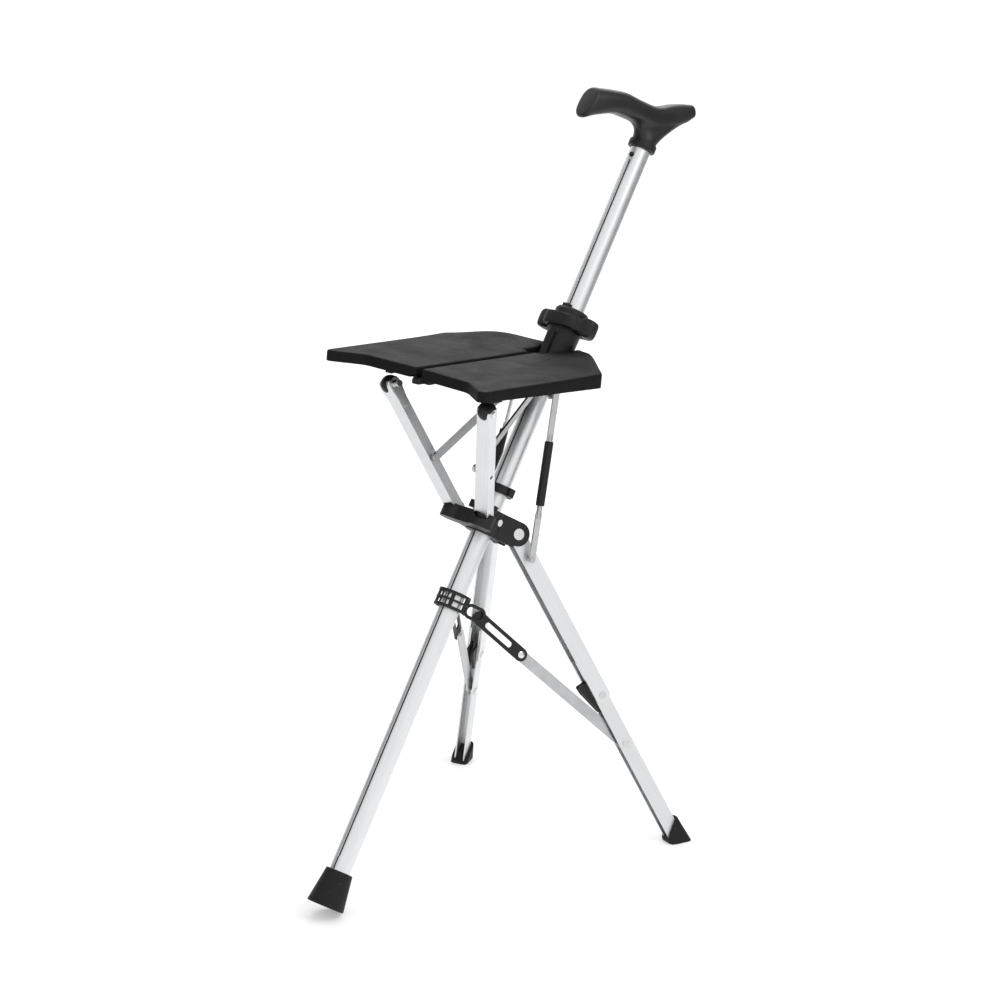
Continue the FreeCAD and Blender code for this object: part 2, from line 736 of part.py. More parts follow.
def make_seat_half():
    blank = seat_blank(seat_thick_rear)
    upper = [e for e in blank.Edges if abs(e.BoundBox.ZMax) < 0.01 and abs(e.BoundBox.ZMin) < 0.01]
    blank = blank.makeFillet(seat_edge, upper)
    # The skirt is shallower towards the front
    front = max(corner[0] for corner in seat_corners) + past
    side = max(corner[1] for corner in seat_corners) + past
    deep = -seat_thick_rear - past
    below = plate([V(-past, 0, -seat_thick_rear), V(skirt_rear, 0, -seat_thick_rear),
                   V(skirt_front, 0, -seat_thick), V(front, 0, -seat_thick),
                   V(front, 0, deep), V(-past, 0, deep)], side, Y_AXIS)
    blank = blank.cut(below)
    inner = Part.Face(seat_plan().makeOffset2D(-seat_rim))
    pocket = inner.extrude(V(0, 0, deep))
    pocket.translate(V(0, 0, -seat_skin))
    keep = box(-past, front, 0, fold_y + hinge_strip, deep - past, past)
    pocket = pocket.cut(keep)
    ribs = []
    for a in cross_ribs:
        ribs.append(box(a - seat_rib / 2, a + seat_rib / 2, 0, side, -seat_thick + rib_short, 0))
    for y in long_ribs:
        ribs.append(box(0, front, y - seat_rib / 2, y + seat_rib / 2, -seat_thick + rib_short, 0))
    ribs.append(box(block_a0 - block_pad, block_a1 + block_pad, block_y0 - block_pad, block_y1 + block_pad,
                    deep, 0))
    half = blank.cut(cut_all(pocket, ribs))
    relief = fuse(box(-past, front, -1, fold_y + relief_gap, deep, relief_w),
                  box(-past, relief_long, 0, relief_wide, deep, relief_w))
    half = half.cut(relief)
    for a in hinge_places:
        a0 = a - hinge_long / 2 - clear
        a1 = a + hinge_long / 2 + clear
        under_skin = box(a0, a1, -1, fold_y, deep, -fold_skin)
        beside_ear = box(a0, a1, -1, fold_y + knuckle_fold_r + clear, deep, fold_w)
        around = rod(V(a0, fold_y, fold_w), V(a1, fold_y, fold_w), knuckle_fold_r + clear)
        half = half.cut(fuse(under_skin, beside_ear, around))
    half = half.cut(rod(V(0, fold_y, fold_w), V(front, fold_y, fold_w), fold_pin_r + pin_gap))
    # Notch at the rear for the tube and the collar's lug
    half = half.cut(rod(V(notch_at, 0, deep), V(notch_at, 0, past), tube_r + notch_gap))
    half = half.cut(box(-past, lug_room_long, -5, lug_room_wide, deep, past))
    return half.removeSplitter()


def make_strut_block(lower_end):
    upper = box(block_a0, block_a1, block_y0, block_y1, block_mid, -block_top)
    lower = box(block_a0 + block_inset, lower_end, block_step, block_y1 - block_inset, block_low,
                block_mid + 1)
    body = fuse(upper, lower)
    return body.makeFillet(1.2, upright_edges(body, 4))


def make_seat_spine():
    pin = seat_local(seat_pin)
    bar = box(pin.x + spine_join, spine_end, -spine_half, spine_half, spine_low, spine_top)
    cheek = box(pin.x, pin.x + cheek_long, lug_half + cheek_gap, cheek_out, spine_low, spine_top)
    eye = across(pin, cheek_eye_r, lug_half + cheek_gap, cheek_out)
    join = box(pin.x + spine_join, pin.x + spine_join + spine_join_long, -cheek_out, cheek_out, spine_low,
               spine_top)
    body = fuse(bar, join, *pair(cheek), *pair(eye))
    for a in hinge_places:
        a0, a1 = a - hinge_long / 2, a + hinge_long / 2
        reach = fold_y + knuckle_fold_r
        yoke = box(a0, a1, -reach, reach, spine_low, fold_w - yoke_drop)
        ear = box(a0, a1, fold_y - yoke_inner, reach, spine_low, fold_w)
        knuckle = rod(V(a0, fold_y, fold_w), V(a1, fold_y, fold_w), knuckle_fold_r)
        body = fuse(body, yoke, *pair(ear), *pair(knuckle))
    hinge_bore = rod(V(0, fold_y, fold_w), V(spine_end + past, fold_y, fold_w), fold_pin_r + pin_gap)
    return cut_all(body, pair(hinge_bore) + [across(pin, seat_pin_r + pin_gap, -past, past)])


def make_hinge_pins():
    start = hinge_places[0] - hinge_long / 2 - 3
    end = hinge_places[-1] + hinge_long / 2 + 3
    return Part.makeCompound(pair(rod(V(start, fold_y, fold_w), V(end, fold_y, fold_w), fold_pin_r)))


# The struts, drawn along Z from the foot, then set between foot and top

strut_long = (strut_top - strut_foot).Length
strut_dir = V(strut_top - strut_foot)
strut_dir.normalize()
strut_side = Y_AXIS - strut_dir * Y_AXIS.dot(strut_dir)
strut_side.normalize()
strut_face = strut_side.cross(strut_dir)


def to_strut(shape):
    return framed(shape, strut_foot, strut_face, strut_side, strut_dir)


def make_strut():
    bar = channel(strut_width, strut_depth, strut_wall, 0, strut_long, 1)
    # The web stops short of both knuckles
    half = strut_depth / 2
    inside = strut_width / 2 - strut_wall
    for z0, z1 in ((-10, knuckle_r + 0.6), (strut_long - knuckle_r - 0.6, strut_long + 10)):
        bar = bar.cut(box(-half - 1, half + 1, -inside, inside, z0, z1))
    for z in (0, strut_long, stay_share * strut_long):
        bar = bar.cut(across(V(0, 0, z), rivet_r + pin_gap, -past, past))
    return to_strut(bar)


def make_strut_ends():
    inside = strut_width / 2 - strut_wall - fixed_gap
    ends = []
    for z, towards in ((0, 1), (strut_long, -1)):
        ball = Part.makeSphere(knuckle_r, V(0, 0, z))
        slab = box(-20, 20, -inside, inside, z - 20, z + 20)
        plug_end = z + towards * (knuckle_r + 7)
        low, high = min(z, plug_end), max(z, plug_end)
        plug = box(-strut_depth / 2 + 0.3, strut_depth / 2 - strut_wall - fixed_gap, -inside, inside,
                   low, high)
        tip = ball.common(slab).fuse(plug)
        ends.append(tip.cut(across(V(0, 0, z), rivet_r + pin_gap, -past, past)))
    return to_strut(Part.makeCompound(ends))


def make_strut_pins(button):
    half = strut_width / 2
    foot_pin = across(ORIGIN, rivet_r, -half, half)
    top_pin = across(V(0, 0, strut_long), rivet_r, -half - 0.8, half + 0.8)
    heads = pair(across(V(0, 0, strut_long), 3.2, half, half + 1.0))
    if button:
        heads.append(across(V(0, 0, strut_long), 2.6, -half - 5, -half - 1))
        heads.append(across(V(0, 0, strut_long), 3.3, -half - 7, -half - 5))
    stay_z = stay_share * strut_long
    inner = -half + strut_wall + 0.9
    rivet = across(V(0, 0, stay_z), rivet_r, -half, inner)
    rivet = fuse(rivet, across(V(0, 0, stay_z), 3.2, -half + strut_wall, inner))
    return to_strut(Part.makeCompound([foot_pin, fuse(top_pin, *heads), rivet]))


def stay_point():
    # Middle of the stay's eye on the strut's rivet
    return strut_foot + strut_dir * (stay_share * strut_long) - strut_side * stay_offset


def stay_axis():
    # Pin of the stay at the runner: square to the stay, near the strut's own cross direction
    along = stay_point() - runner_ear
    along.normalize()
    side = stay_pin_lean - along * stay_pin_lean.dot(along)
    side.normalize()
    return side


def make_stay():
    # Flat bar from the strut's rivet to the runner's ear, where its own stub turns
    start = stay_point()
    along = runner_ear - start
    length = along.Length
    along.normalize()
    side = stay_axis()
    face = side.cross(along)
    bar = stadium(stay_width / 2, 0, length, -stay_thick / 2, stay_thick / 2)
    # A ball-ended stub reaches to the strut, because the strut also twists beside the stay
    reach = stay_offset - strut_width / 2 - clear - stay_ball_r
    head = across(ORIGIN, stay_head_r, -stay_thick / 2 - 1.1, -stay_thick / 2)
    bar = fuse(bar, head, across(ORIGIN, stay_ball_r, 0, reach), Part.makeSphere(stay_ball_r, V(0, reach, 0)))
    stub = across(V(0, 0, length), stay_stub_r, -stay_thick / 2 - stay_stub, -stay_thick / 2)
    stub = fuse(stub, across(V(0, 0, length), 2.8, stay_thick / 2, stay_thick / 2 + 0.9))
    return framed(fuse(bar, stub), start, face, side, along)


def make_stay_runner():
    half = runner_height / 2
    ring = sleeve(tube_r + runner_wall, tube_r + running_gap, runner_z - half, runner_z + half)
    ear = box(6, runner_ear.x, runner_ear_in, runner_ear_out, runner_z - runner_eye_r, runner_z + runner_eye_r)
    ear = fuse(ear, across(runner_ear, runner_eye_r, runner_ear_in, runner_ear_out))
    pin = stay_axis()
    ear = ear.cut(rod(runner_ear - pin * past, runner_ear + pin * past, stay_stub_r + 0.06))
    body = fuse(ring, *pair(ear))
    return cut_all(body, [tube_bore(runner_z, running_gap), spine_room(runner_z)])


# The rear legs, drawn along -Z from the pivot with X away from the stick, then opened

def to_leg(shape):
    placed = shape.copy()
    placed.rotate(ORIGIN, Y_AXIS, -leg_open)
    placed.translate(leg_pivot())
    return to_leg_plane(placed)


def make_leg_upper():
    bar = channel(leg_width, leg_depth, leg_wall, -leg_upper_end, 0, 1)
    inside = leg_width / 2 - leg_wall
    bar = bar.cut(box(-past, past, -inside, inside, -10, past))
    bar = bar.cut(across(V(0, 0, 0), pivot_pin_r + pin_gap, -past, past))
    bar = bar.cut(across(V(0, 0, -leg_upper_end), rivet_r + pin_gap, -past, past))
    return to_leg(bar)


def lower_channel(grow):
    width = lower_width + 2 * grow
    half = lower_depth / 2
    solid = box(-half - grow, half + grow, -width / 2, width / 2, -leg_shoe_end, -leg_lower_start)
    inside = lower_width / 2 - leg_wall - grow
    solid = solid.cut(box(-half - 5, half - leg_wall - grow, -inside, inside, -leg_shoe_end - 5,
                          -leg_lower_start + 5))
    solid.translate(V(lower_shift, 0, 0))
    return solid


def make_leg_lower():
    bar = lower_channel(0)
    bar = bar.cut(across(V(0, 0, -leg_upper_end), rivet_r + pin_gap, -past, past))
    bar = bar.cut(across(V(bar_pin_offset, 0, -bar_pin_at), rivet_r + pin_gap, -past, past))
    return to_leg(bar)


def make_leg_rivets():
    outer = leg_width / 2
    inner = lower_width / 2 - leg_wall
    centre = V(0, 0, -leg_upper_end)
    rivet = fuse(across(centre, rivet_r, inner, outer), across(centre, 3.3, outer, outer + 1.0),
                 across(centre, 2.8, inner - 0.7, inner))
    return to_leg(Part.makeCompound(pair(rivet)))


def make_bar_pin():
    half = lower_width / 2
    centre = V(bar_pin_offset, 0, -bar_pin_at)
    pin = across(centre, rivet_r, -half, half)
    heads = [across(centre, 3.6, half, half + 1.0), across(centre, 3.6, -half - 1.0, -half)]
    collars = [across(centre, 3.4, bar_thick / 2 + 0.35, half - leg_wall),
               across(centre, 3.4, -half + leg_wall, -bar_thick / 2 - 0.35)]
    return to_leg(fuse(pin, *heads, *collars))


def make_leg_cheeks():
    # Two black pads that line the opening and rest beside the tube when folded
    inner = lower_width / 2 - leg_wall
    profile = [V(across_it, inner - cheek_thick, -down) for across_it, down in cheek_profile]
    cheek = plate(profile, cheek_thick, Y_AXIS)
    outside = [e for e in cheek.Edges if e.BoundBox.YLength > 2 and e.BoundBox.XMin < -8.5]
    return to_leg(Part.makeCompound(pair(cheek.makeFillet(cheek_edge, outside))))


def make_foot_cap():
    steps = []
    for inner, outer, half, high, rounding in foot_steps:
        step = box(inner, outer, -half, half, -leg_length - past * 1.5, -leg_length + high)
        steps.append(step.makeFillet(rounding, upright_edges(step)))
    notch = box(-past, past, -foot_split / 2, foot_split / 2, -leg_length - past * 2,
                -leg_length + foot_split_high)
    body = cut_all(fuse(*steps), [lower_channel(fixed_gap), notch])
    return to_leg(body).cut(floor_block())


def bar_pin_place():
    # Middle of the bar's pin in the leg's plane, leg opened
    turn = FreeCAD.Rotation(Y_AXIS, -leg_open)
    return turn.multVec(V(bar_pin_offset, 0, -bar_pin_at)) + leg_pivot()


def make_bar():
    # Stretcher bar, drawn up from its pin and then turned towards the strap
    bar_length = (arm_end() - bar_pin_place()).Length
    bar = stadium(bar_width / 2, 0, bar_length, -bar_thick / 2, bar_thick / 2)
    bar = bar.cut(across(V(0, 0, 0), rivet_r + pin_gap, -past, past))
    bar = bar.cut(across(V(0, 0, bar_length), rivet_r + pin_gap, -past, past))
    turn = bar_angle()
    bar.rotate(ORIGIN, Y_AXIS, turn)
    bar.translate(V(bar_pin_offset, 0, -bar_pin_at))
    return to_leg(bar)


def arm_end():
    slope = math.radians(arm_slope)
    r = arm_hinge_r + arm_length * math.cos(slope)
    z = band_z - arm_hinge_drop - arm_length * math.sin(slope)
    return V(r, 0, z)


def bar_angle():
    # Turn of the bar from the leg's own line, so that it points at the arm's end
    target = arm_end() - leg_pivot()
    back = FreeCAD.Rotation(Y_AXIS, leg_open)
    local = back.multVec(target) - V(bar_pin_offset, 0, -bar_pin_at)
    return math.degrees(math.atan2(local.x, local.z))


# The strap round the stick

def make_band():
    half = band_height / 2
    outer = band_inner_r + band_thick
    ring = sleeve(outer, band_inner_r, band_z - half, band_z + half)
    ring = ring.cut(box(-past * 2, -band_open_x, -past * 2, past * 2, band_z - past, band_z + past))
    y_in = arm_layer + arm_thick + 0.35
    y_out = y_in + band_wing
    tail = box(0, arm_hinge_r - 1, -y_out, -y_in, band_z - half, band_z + half)
    foot = box(12, arm_hinge_r + 4.5, -y_out, -y_in, band_z - half, band_z + half - 6)
    slot = stadium(band_slot_r, -5.5, 5.5, -past, past)
    slot.rotate(ORIGIN, Y_AXIS, 90)
    slot.translate(V(arm_hinge_r - 12.5, 0, band_z + 0.5))
    hole = rod(V(0, 0, band_z - past), V(0, 0, band_z + past), band_inner_r)
    wing = cut_all(fuse(tail, foot), [hole, slot])
    wings = pair(to_leg_plane(wing))
    lip = sleeve(band_inner_r + 0.2, tube_r + running_gap, band_z - band_lip_half, band_z + band_lip_half)
    lip = lip.cut(box(-past, 2, -past, past, band_z - past, band_z + past))
    body = fuse(ring, lip, *wings)
    for z in (band_z - band_window_z, band_z + band_window_z):
        body = cut_all(body, pair(box(0, past * 2, band_window_in, band_window_out, z - band_window_half,
                                      z + band_window_half)))
    return body


def make_strap_arm():
    half = arm_width / 2
    arm = stadium(half, 0, -arm_length, -arm_layer - arm_thick, -arm_layer)
    slot = stadium(arm_slot_r, -12, -arm_length + 16, -past, past)
    arm = arm.cut(slot)
    eyelet = across(V(0, 0, -arm_length), arm_eye_r, -arm_layer - arm_thick - 0.5, -arm_layer)
    hinge = across(ORIGIN, 1.9, -arm_layer - arm_thick - 0.1, -arm_layer + 0.6)
    arm = fuse(arm, eyelet, hinge)
    arm.rotate(ORIGIN, Y_AXIS, -90 + arm_slope)
    arm.translate(V(arm_hinge_r, 0, band_z - arm_hinge_drop))
    return to_leg_plane(arm)


# The ties between the ring under the seat and the legs

def tie_foot():
    plane = math.radians(leg_plane)
    x = -tie_foot_r * math.cos(plane) + tie_offset * math.sin(plane)
    y = tie_foot_r * math.sin(plane) + tie_offset * math.cos(plane)
    return V(x, y, tie_foot_z)


tie_long = (tie_head - tie_foot()).Length


def to_tie(shape):
    foot = tie_foot()
    along = tie_head - foot
    along.normalize()
    side = tie_axis()
    return framed(shape, foot, side.cross(along), side, along)


def tie_axis():
    # Pin of the tie at its head: square to the tie opened and folded
    opened = tie_foot() - tie_head
    folded = folded_leg_point(tie_foot()) - tie_head
    axis = opened.cross(folded)
    axis.normalize()
    return axis if axis.y > 0 else axis * -1


def folded_leg_point(point):
    # Where a point of the near leg lies when the leg is folded against the stick
    plane = math.radians(leg_plane)
    pivot = V(-leg_pivot_r * math.cos(plane), leg_pivot_r * math.sin(plane), leg_pivot_z)
    normal = V(-math.sin(plane), -math.cos(plane), 0)
    return pivot + FreeCAD.Rotation(normal, leg_open).multVec(point - pivot)


def make_tie_upper():
    start = tie_long * sleeve_to - 6
    strip = stadium(tie_width / 2, start + tie_width, tie_long, -tie_thick / 2, tie_thick / 2)
    root = rod(V(0, 0, start), V(0, 0, start + 12), 2.4)
    return to_tie(fuse(strip, root).cut(across(V(0, 0, tie_long), tie_pin_r + 0.06, -5, 5)))


def make_tie_sleeve():
    z0, z1 = tie_long * sleeve_from, tie_long * sleeve_to
    tube = rod(V(0, 0, z0), V(0, 0, z1), sleeve_r)
    ends = [e for e in tube.Edges if e.BoundBox.ZLength < 0.01]
    tube = tube.makeFillet(1.2, ends)
    return to_tie(tube.cut(rod(V(0, 0, z0 - 1), V(0, 0, z1 + 1), 3.2)))


def make_tie_lower():
    top = tie_long * sleeve_from + 16
    strip = stadium(tie_width / 2, 0, tie_long * sleeve_from - 2 - tie_width, -tie_thick / 2, tie_thick / 2)
    root = rod(V(0, 0, tie_long * sleeve_from - 12), V(0, 0, top), 2.6)
    head = rod(V(0, 0, top), V(0, 0, top + 3), 3.0)
    knob = across(V(0, 0, 0), 2.6, tie_thick / 2, tie_thick / 2 + 1.0)
    spacer = across(V(0, 0, 0), 2.6, -(tie_offset - leg_width / 2) + 0.35, -tie_thick / 2)
    return to_tie(fuse(strip, root, head, knob, spacer))


# All pieces, leaned back and moved so that the origin is the floor centre of the whole

def build():
    near_only = {
        "seat": to_seat(make_seat_half()),
        "strut": make_strut(),
        "strut_ends": make_strut_ends(),
        "stay": make_stay(),
        "leg_upper": make_leg_upper(),
        "leg_lower": make_leg_lower(),
        "leg_rivets": make_leg_rivets(),
        "leg_cheeks": make_leg_cheeks(),
        "foot_cap": make_foot_cap(),
        "bar": make_bar(),
        "bar_pin": make_bar_pin(),
        "strap_arm": make_strap_arm(),
        "tie_upper": make_tie_upper(),
        "tie_sleeve": make_tie_sleeve(),
        "tie_lower": make_tie_lower()}
    pieces = {
        "main_tube": make_main_tube(),
        "ferrule": make_ferrule(),
        "ferrule_washer": make_ferrule_washer(),
        "handle_grip": make_handle_grip(),
        "handle_ring": make_handle_ring(),
        "handle_stem": make_handle_stem(),
        "snap_button": make_snap_button(),
        "snap_spring": make_snap_spring(),
        "hub": make_hub(),
        "hub_pin": make_hub_pin(),
        "leg_pins": make_leg_pins(),
        "stop_ring": make_stop_ring(),
        "tie_ring": make_tie_ring(),
        "tie_pins": make_tie_pins(),
        "stay_runner": make_stay_runner(),
        "collar_body": make_collar_body(),
        "release_wings": make_release_wings(),
        "release_spring": make_release_spring(),
        "brake_shoe": make_brake_shoe(),
        "seat_pin": make_seat_pin(),
        "seat_spine": to_seat(make_seat_spine()),
        "hinge_pins": to_seat(make_hinge_pins()),
        "strut_block_near": to_seat(make_strut_block(block_a1 - 1.5)),
        "strut_block_far": far(to_seat(make_strut_block(block_short))),
        "strut_pins_near": make_strut_pins(False),
        "strut_pins_far": far(make_strut_pins(True)),
        "strap_band": make_band()}
    for name, shape in near_only.items():
        pieces[name + "_near"] = shape
        pieces[name + "_far"] = far(shape)
    for shape in pieces.values():
        shape.rotate(ORIGIN, Y_AXIS, -stick_lean)
    return pieces


def centre_on_floor(pieces):
    size = Part.makeCompound(list(pieces.values())).optimalBoundingBox(False)
    shift = V(-(size.XMin + size.XMax) / 2, -(size.YMin + size.YMax) / 2, 0)
    for shape in pieces.values():
        shape.translate(shift)
    print("shift", round(shift.x, 3), round(shift.y, 3), "floor", round(size.ZMin, 4))
    print("size", round(size.XLength, 2), round(size.YLength, 2), round(size.ZLength, 2))


os.makedirs("parts", exist_ok=True)
all_pieces = build()
centre_on_floor(all_pieces)
for node, shape in all_pieces.items():
    valid = "" if shape.isValid() else " NOT VALID"
    print(node, len(shape.Solids), round(shape.Volume, 1), valid)
    shape.exportStep("parts/" + node + ".step")
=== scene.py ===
# %% [markdown]
# A walking stick that opens into a small tripod seat.
# The moving parts come packed from the CAD model and are never touched. This lesson dresses them:
# every metal, rubber and plastic gets a node material, and the forms that are easier to carve
# as smooth surfaces, such as the grip, are worked out here with numpy.

import math
import bmesh
import bpy
import numpy as np
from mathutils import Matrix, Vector


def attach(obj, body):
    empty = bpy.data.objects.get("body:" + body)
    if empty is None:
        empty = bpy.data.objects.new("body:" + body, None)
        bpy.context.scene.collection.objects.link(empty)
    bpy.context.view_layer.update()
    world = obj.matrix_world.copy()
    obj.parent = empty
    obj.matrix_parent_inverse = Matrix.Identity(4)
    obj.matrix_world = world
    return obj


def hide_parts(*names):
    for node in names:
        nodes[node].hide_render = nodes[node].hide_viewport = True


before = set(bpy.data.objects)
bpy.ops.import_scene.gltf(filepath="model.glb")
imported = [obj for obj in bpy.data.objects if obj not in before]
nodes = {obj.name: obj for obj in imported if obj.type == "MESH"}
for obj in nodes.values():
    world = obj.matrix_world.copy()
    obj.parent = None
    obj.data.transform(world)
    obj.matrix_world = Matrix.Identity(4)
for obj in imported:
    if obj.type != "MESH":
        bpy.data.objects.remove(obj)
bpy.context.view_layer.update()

# %% [markdown]
# The CAD model was drawn with the stick upright and then leaned back by 35 degrees.
# New pieces are easiest to place in that upright drawing: X to the seat's front, Y to the near side,
# Z up the stick, in millimetres. One matrix takes a drawing point to its place in the scene.

# %% The stick's own drawing frame
LEAN = math.radians(35.0)
FLOOR_SHIFT = 0.255737   # metres along X, which puts the middle of the object's box over the origin
MM = 0.001
drawing = np.array([
    [math.cos(LEAN), 0.0, -math.sin(LEAN)],
    [0.0, 1.0, 0.0],
    [math.sin(LEAN), 0.0, math.cos(LEAN)]])


def place(points):
    """Drawing point in mm, turned by the lean about Y, in metres, then moved by the floor shift along X."""
    return points @ drawing.T * MM + np.array([FLOOR_SHIFT, 0.0, 0.0])


print("the stick points along", np.round(drawing[:, 2], 4))

# %% [markdown]
# Colours are written as sRGB hex, the way a paint chart or a photo editor shows them.
# Blender's sockets want linear light, so one function turns the one into the other.
# A second small function adds a node, sets its options and links or fills its sockets. The rest are
# the few things that all materials here share: noise, a mapped range, and a relief with rounded edges.


# %% Colour and node helpers
def linear(code):
    """sRGB hex to linear RGBA: below 0.04045 divide by 12.92, above it ((c + 0.055) / 1.055) to the 2.4."""
    values = [int(code[i:i + 2], 16) / 255 for i in (1, 3, 5)]
    return [c / 12.92 if c <= 0.04045 else ((c + 0.055) / 1.055) ** 2.4 for c in values] + [1.0]


def add(tree, kind, options=None, **sockets):
    """Adds a node. Options are its properties, and sockets are constants or other nodes' outputs.
    A socket is named, with _ for a space, or numbered as i0, i1 and so on."""
    node = tree.nodes.new(kind)
    for key, value in (options or {}).items():
        setattr(node, key, value)
    for key, value in sockets.items():
        numbered = key[0] == "i" and key[1:].isdigit()
        socket = node.inputs[int(key[1:]) if numbered else key.replace("_", " ")]
        if isinstance(value, bpy.types.NodeSocket):
            tree.links.new(value, socket)
        else:
            socket.default_value = value
    return node


def ramp(tree, factor, low, high, colour_low, colour_high):
    """A two-stop colour ramp on a factor."""
    node = add(tree, "ShaderNodeValToRGB", Fac=factor)
    stops = node.color_ramp.elements
    stops[0].position = low
    stops[0].color = colour_low
    stops[1].position = high
    stops[1].color = colour_high
    return node.outputs["Color"]


def blank(name):
    """A new material with an empty node tree, its Principled shader and its output."""
    material = bpy.data.materials.new(name)
    material.use_nodes = True
    tree = material.node_tree
    tree.nodes.clear()
    shader = add(tree, "ShaderNodeBsdfPrincipled")
    output = add(tree, "ShaderNodeOutputMaterial")
    tree.links.new(shader.outputs["BSDF"], output.inputs["Surface"])
    return material, tree, shader


def object_place(tree):
    """The point being shaded, in the piece's own metres."""
    return add(tree, "ShaderNodeTexCoord").outputs["Object"]


def noise(tree, vector, scale, detail, roughness=0.5):
    """Fractal noise; a scale of 1000 / d has features about d millimetres across."""
    return add(tree, "ShaderNodeTexNoise", Vector=vector, Scale=scale, Detail=detail,
               Roughness=roughness).outputs["Fac"]


def spread(tree, factor, low, high, to_low, to_high):
    """Maps a factor's range onto another range."""
    return add(tree, "ShaderNodeMapRange", Value=factor, From_Min=low, From_Max=high, To_Min=to_low,
               To_Max=to_high).outputs["Result"]


def relief(tree, shader, height, strength, depth_mm, edge_mm):
    """Bump on top of edges rounded to a radius, so that every corner catches a thin line of light."""
    edge = add(tree, "ShaderNodeBevel", {"samples": 4}, Radius=edge_mm * MM).outputs["Normal"]
    bump = add(tree, "ShaderNodeBump", Height=height, Normal=edge, Strength=strength, Distance=depth_mm * MM)
    tree.links.new(bump.outputs["Normal"], shader.inputs["Normal"])


def shaded(colour, part):
    """A linear colour at a part of its brightness."""
    return [c * part for c in colour[:3]] + [1.0]


print("helpers ready; #808080 in linear light is", round(linear("#808080")[0], 3))

# %% [markdown]
# Satin anodised aluminium. The real tube is drawn through a die, etched matt and anodised, which leaves
# faint lines along its length and a soft, broad highlight. The lines are a stretched noise pattern, so the
# pattern must run along each piece: a Mapping node turns the piece's own direction onto the pattern's Z.


# %% Satin anodised aluminium
def along(axis):
    """Euler turn that carries the given axis onto Z."""
    return Vector(axis).rotation_difference(Vector((0, 0, 1))).to_euler()


def satin_aluminium(name, axis, shade, rough):
    """Lines darken the colour by a tenth and roughen the highlight, which shows the eye which way the metal
    was drawn. Patches vary the roughness, as hands and cloths do."""
    material, tree, shader = blank(name)
    at = object_place(tree)
    upright = add(tree, "ShaderNodeMapping", Vector=at, Rotation=along(axis)).outputs["Vector"]
    # The die lines are drawn 0.8 mm apart and about 60 mm long. The real ones are too fine to be seen.
    stretched = add(tree, "ShaderNodeMapping", Vector=upright, Scale=(1250, 1250, 16)).outputs["Vector"]
    lines = noise(tree, stretched, 1.0, 3.0, 0.6)
    # Handling marks are soft patches about 18 mm across
    patches = noise(tree, upright, 55.0, 4.0, 0.62)
    colour = linear(shade)
    tree.links.new(ramp(tree, lines, 0.30, 0.75, shaded(colour, 0.90), colour), shader.inputs["Base Color"])
    worn = spread(tree, patches, 0.3, 0.75, rough - 0.05, rough + 0.09)
    drawn = add(tree, "ShaderNodeMath", {"operation": "MULTIPLY_ADD"}, i0=lines, i1=0.10, i2=worn)
    tree.links.new(drawn.outputs["Value"], shader.inputs["Roughness"])
    shader.inputs["Metallic"].default_value = 1.0
    relief(tree, shader, lines, strength=0.10, depth_mm=0.2, edge_mm=0.3)
    return material


print("satin aluminium ready")

# %% [markdown]
# Zinc plated steel and bright rivets. Zinc is dipped or plated, then rolls and bends leave a cloudy,
# slightly mottled sheen. Rivet heads are formed by a die, so they are the brightest metal on the object.


# %% Zinc plated and bright steel
def plated_steel(name, shade, rough, cloud_mm):
    """One cloud pattern darkens the colour by a fifth and dulls the highlight, which reads as plating."""
    material, tree, shader = blank(name)
    clouds = noise(tree, object_place(tree), 1000.0 / cloud_mm, 5.0, 0.65)
    colour = linear(shade)
    tree.links.new(ramp(tree, clouds, 0.32, 0.70, shaded(colour, 0.82), colour), shader.inputs["Base Color"])
    tree.links.new(spread(tree, clouds, 0.3, 0.7, rough - 0.06, rough + 0.10), shader.inputs["Roughness"])
    shader.inputs["Metallic"].default_value = 1.0
    relief(tree, shader, clouds, strength=0.06, depth_mm=0.3, edge_mm=0.4)
    return material


print("plated steel ready")

# %% [markdown]
# Black mouldings. Glass-filled nylon comes out of the mould with a fine grain and small pale scuffs
# where edges rub. The seat panels have a coarser, sandblasted grain, and the ferrule and feet are
# carbon-black rubber, which is duller and picks up grey dust. One function serves all of them,
# because only the grain, the colours and the roughness differ.


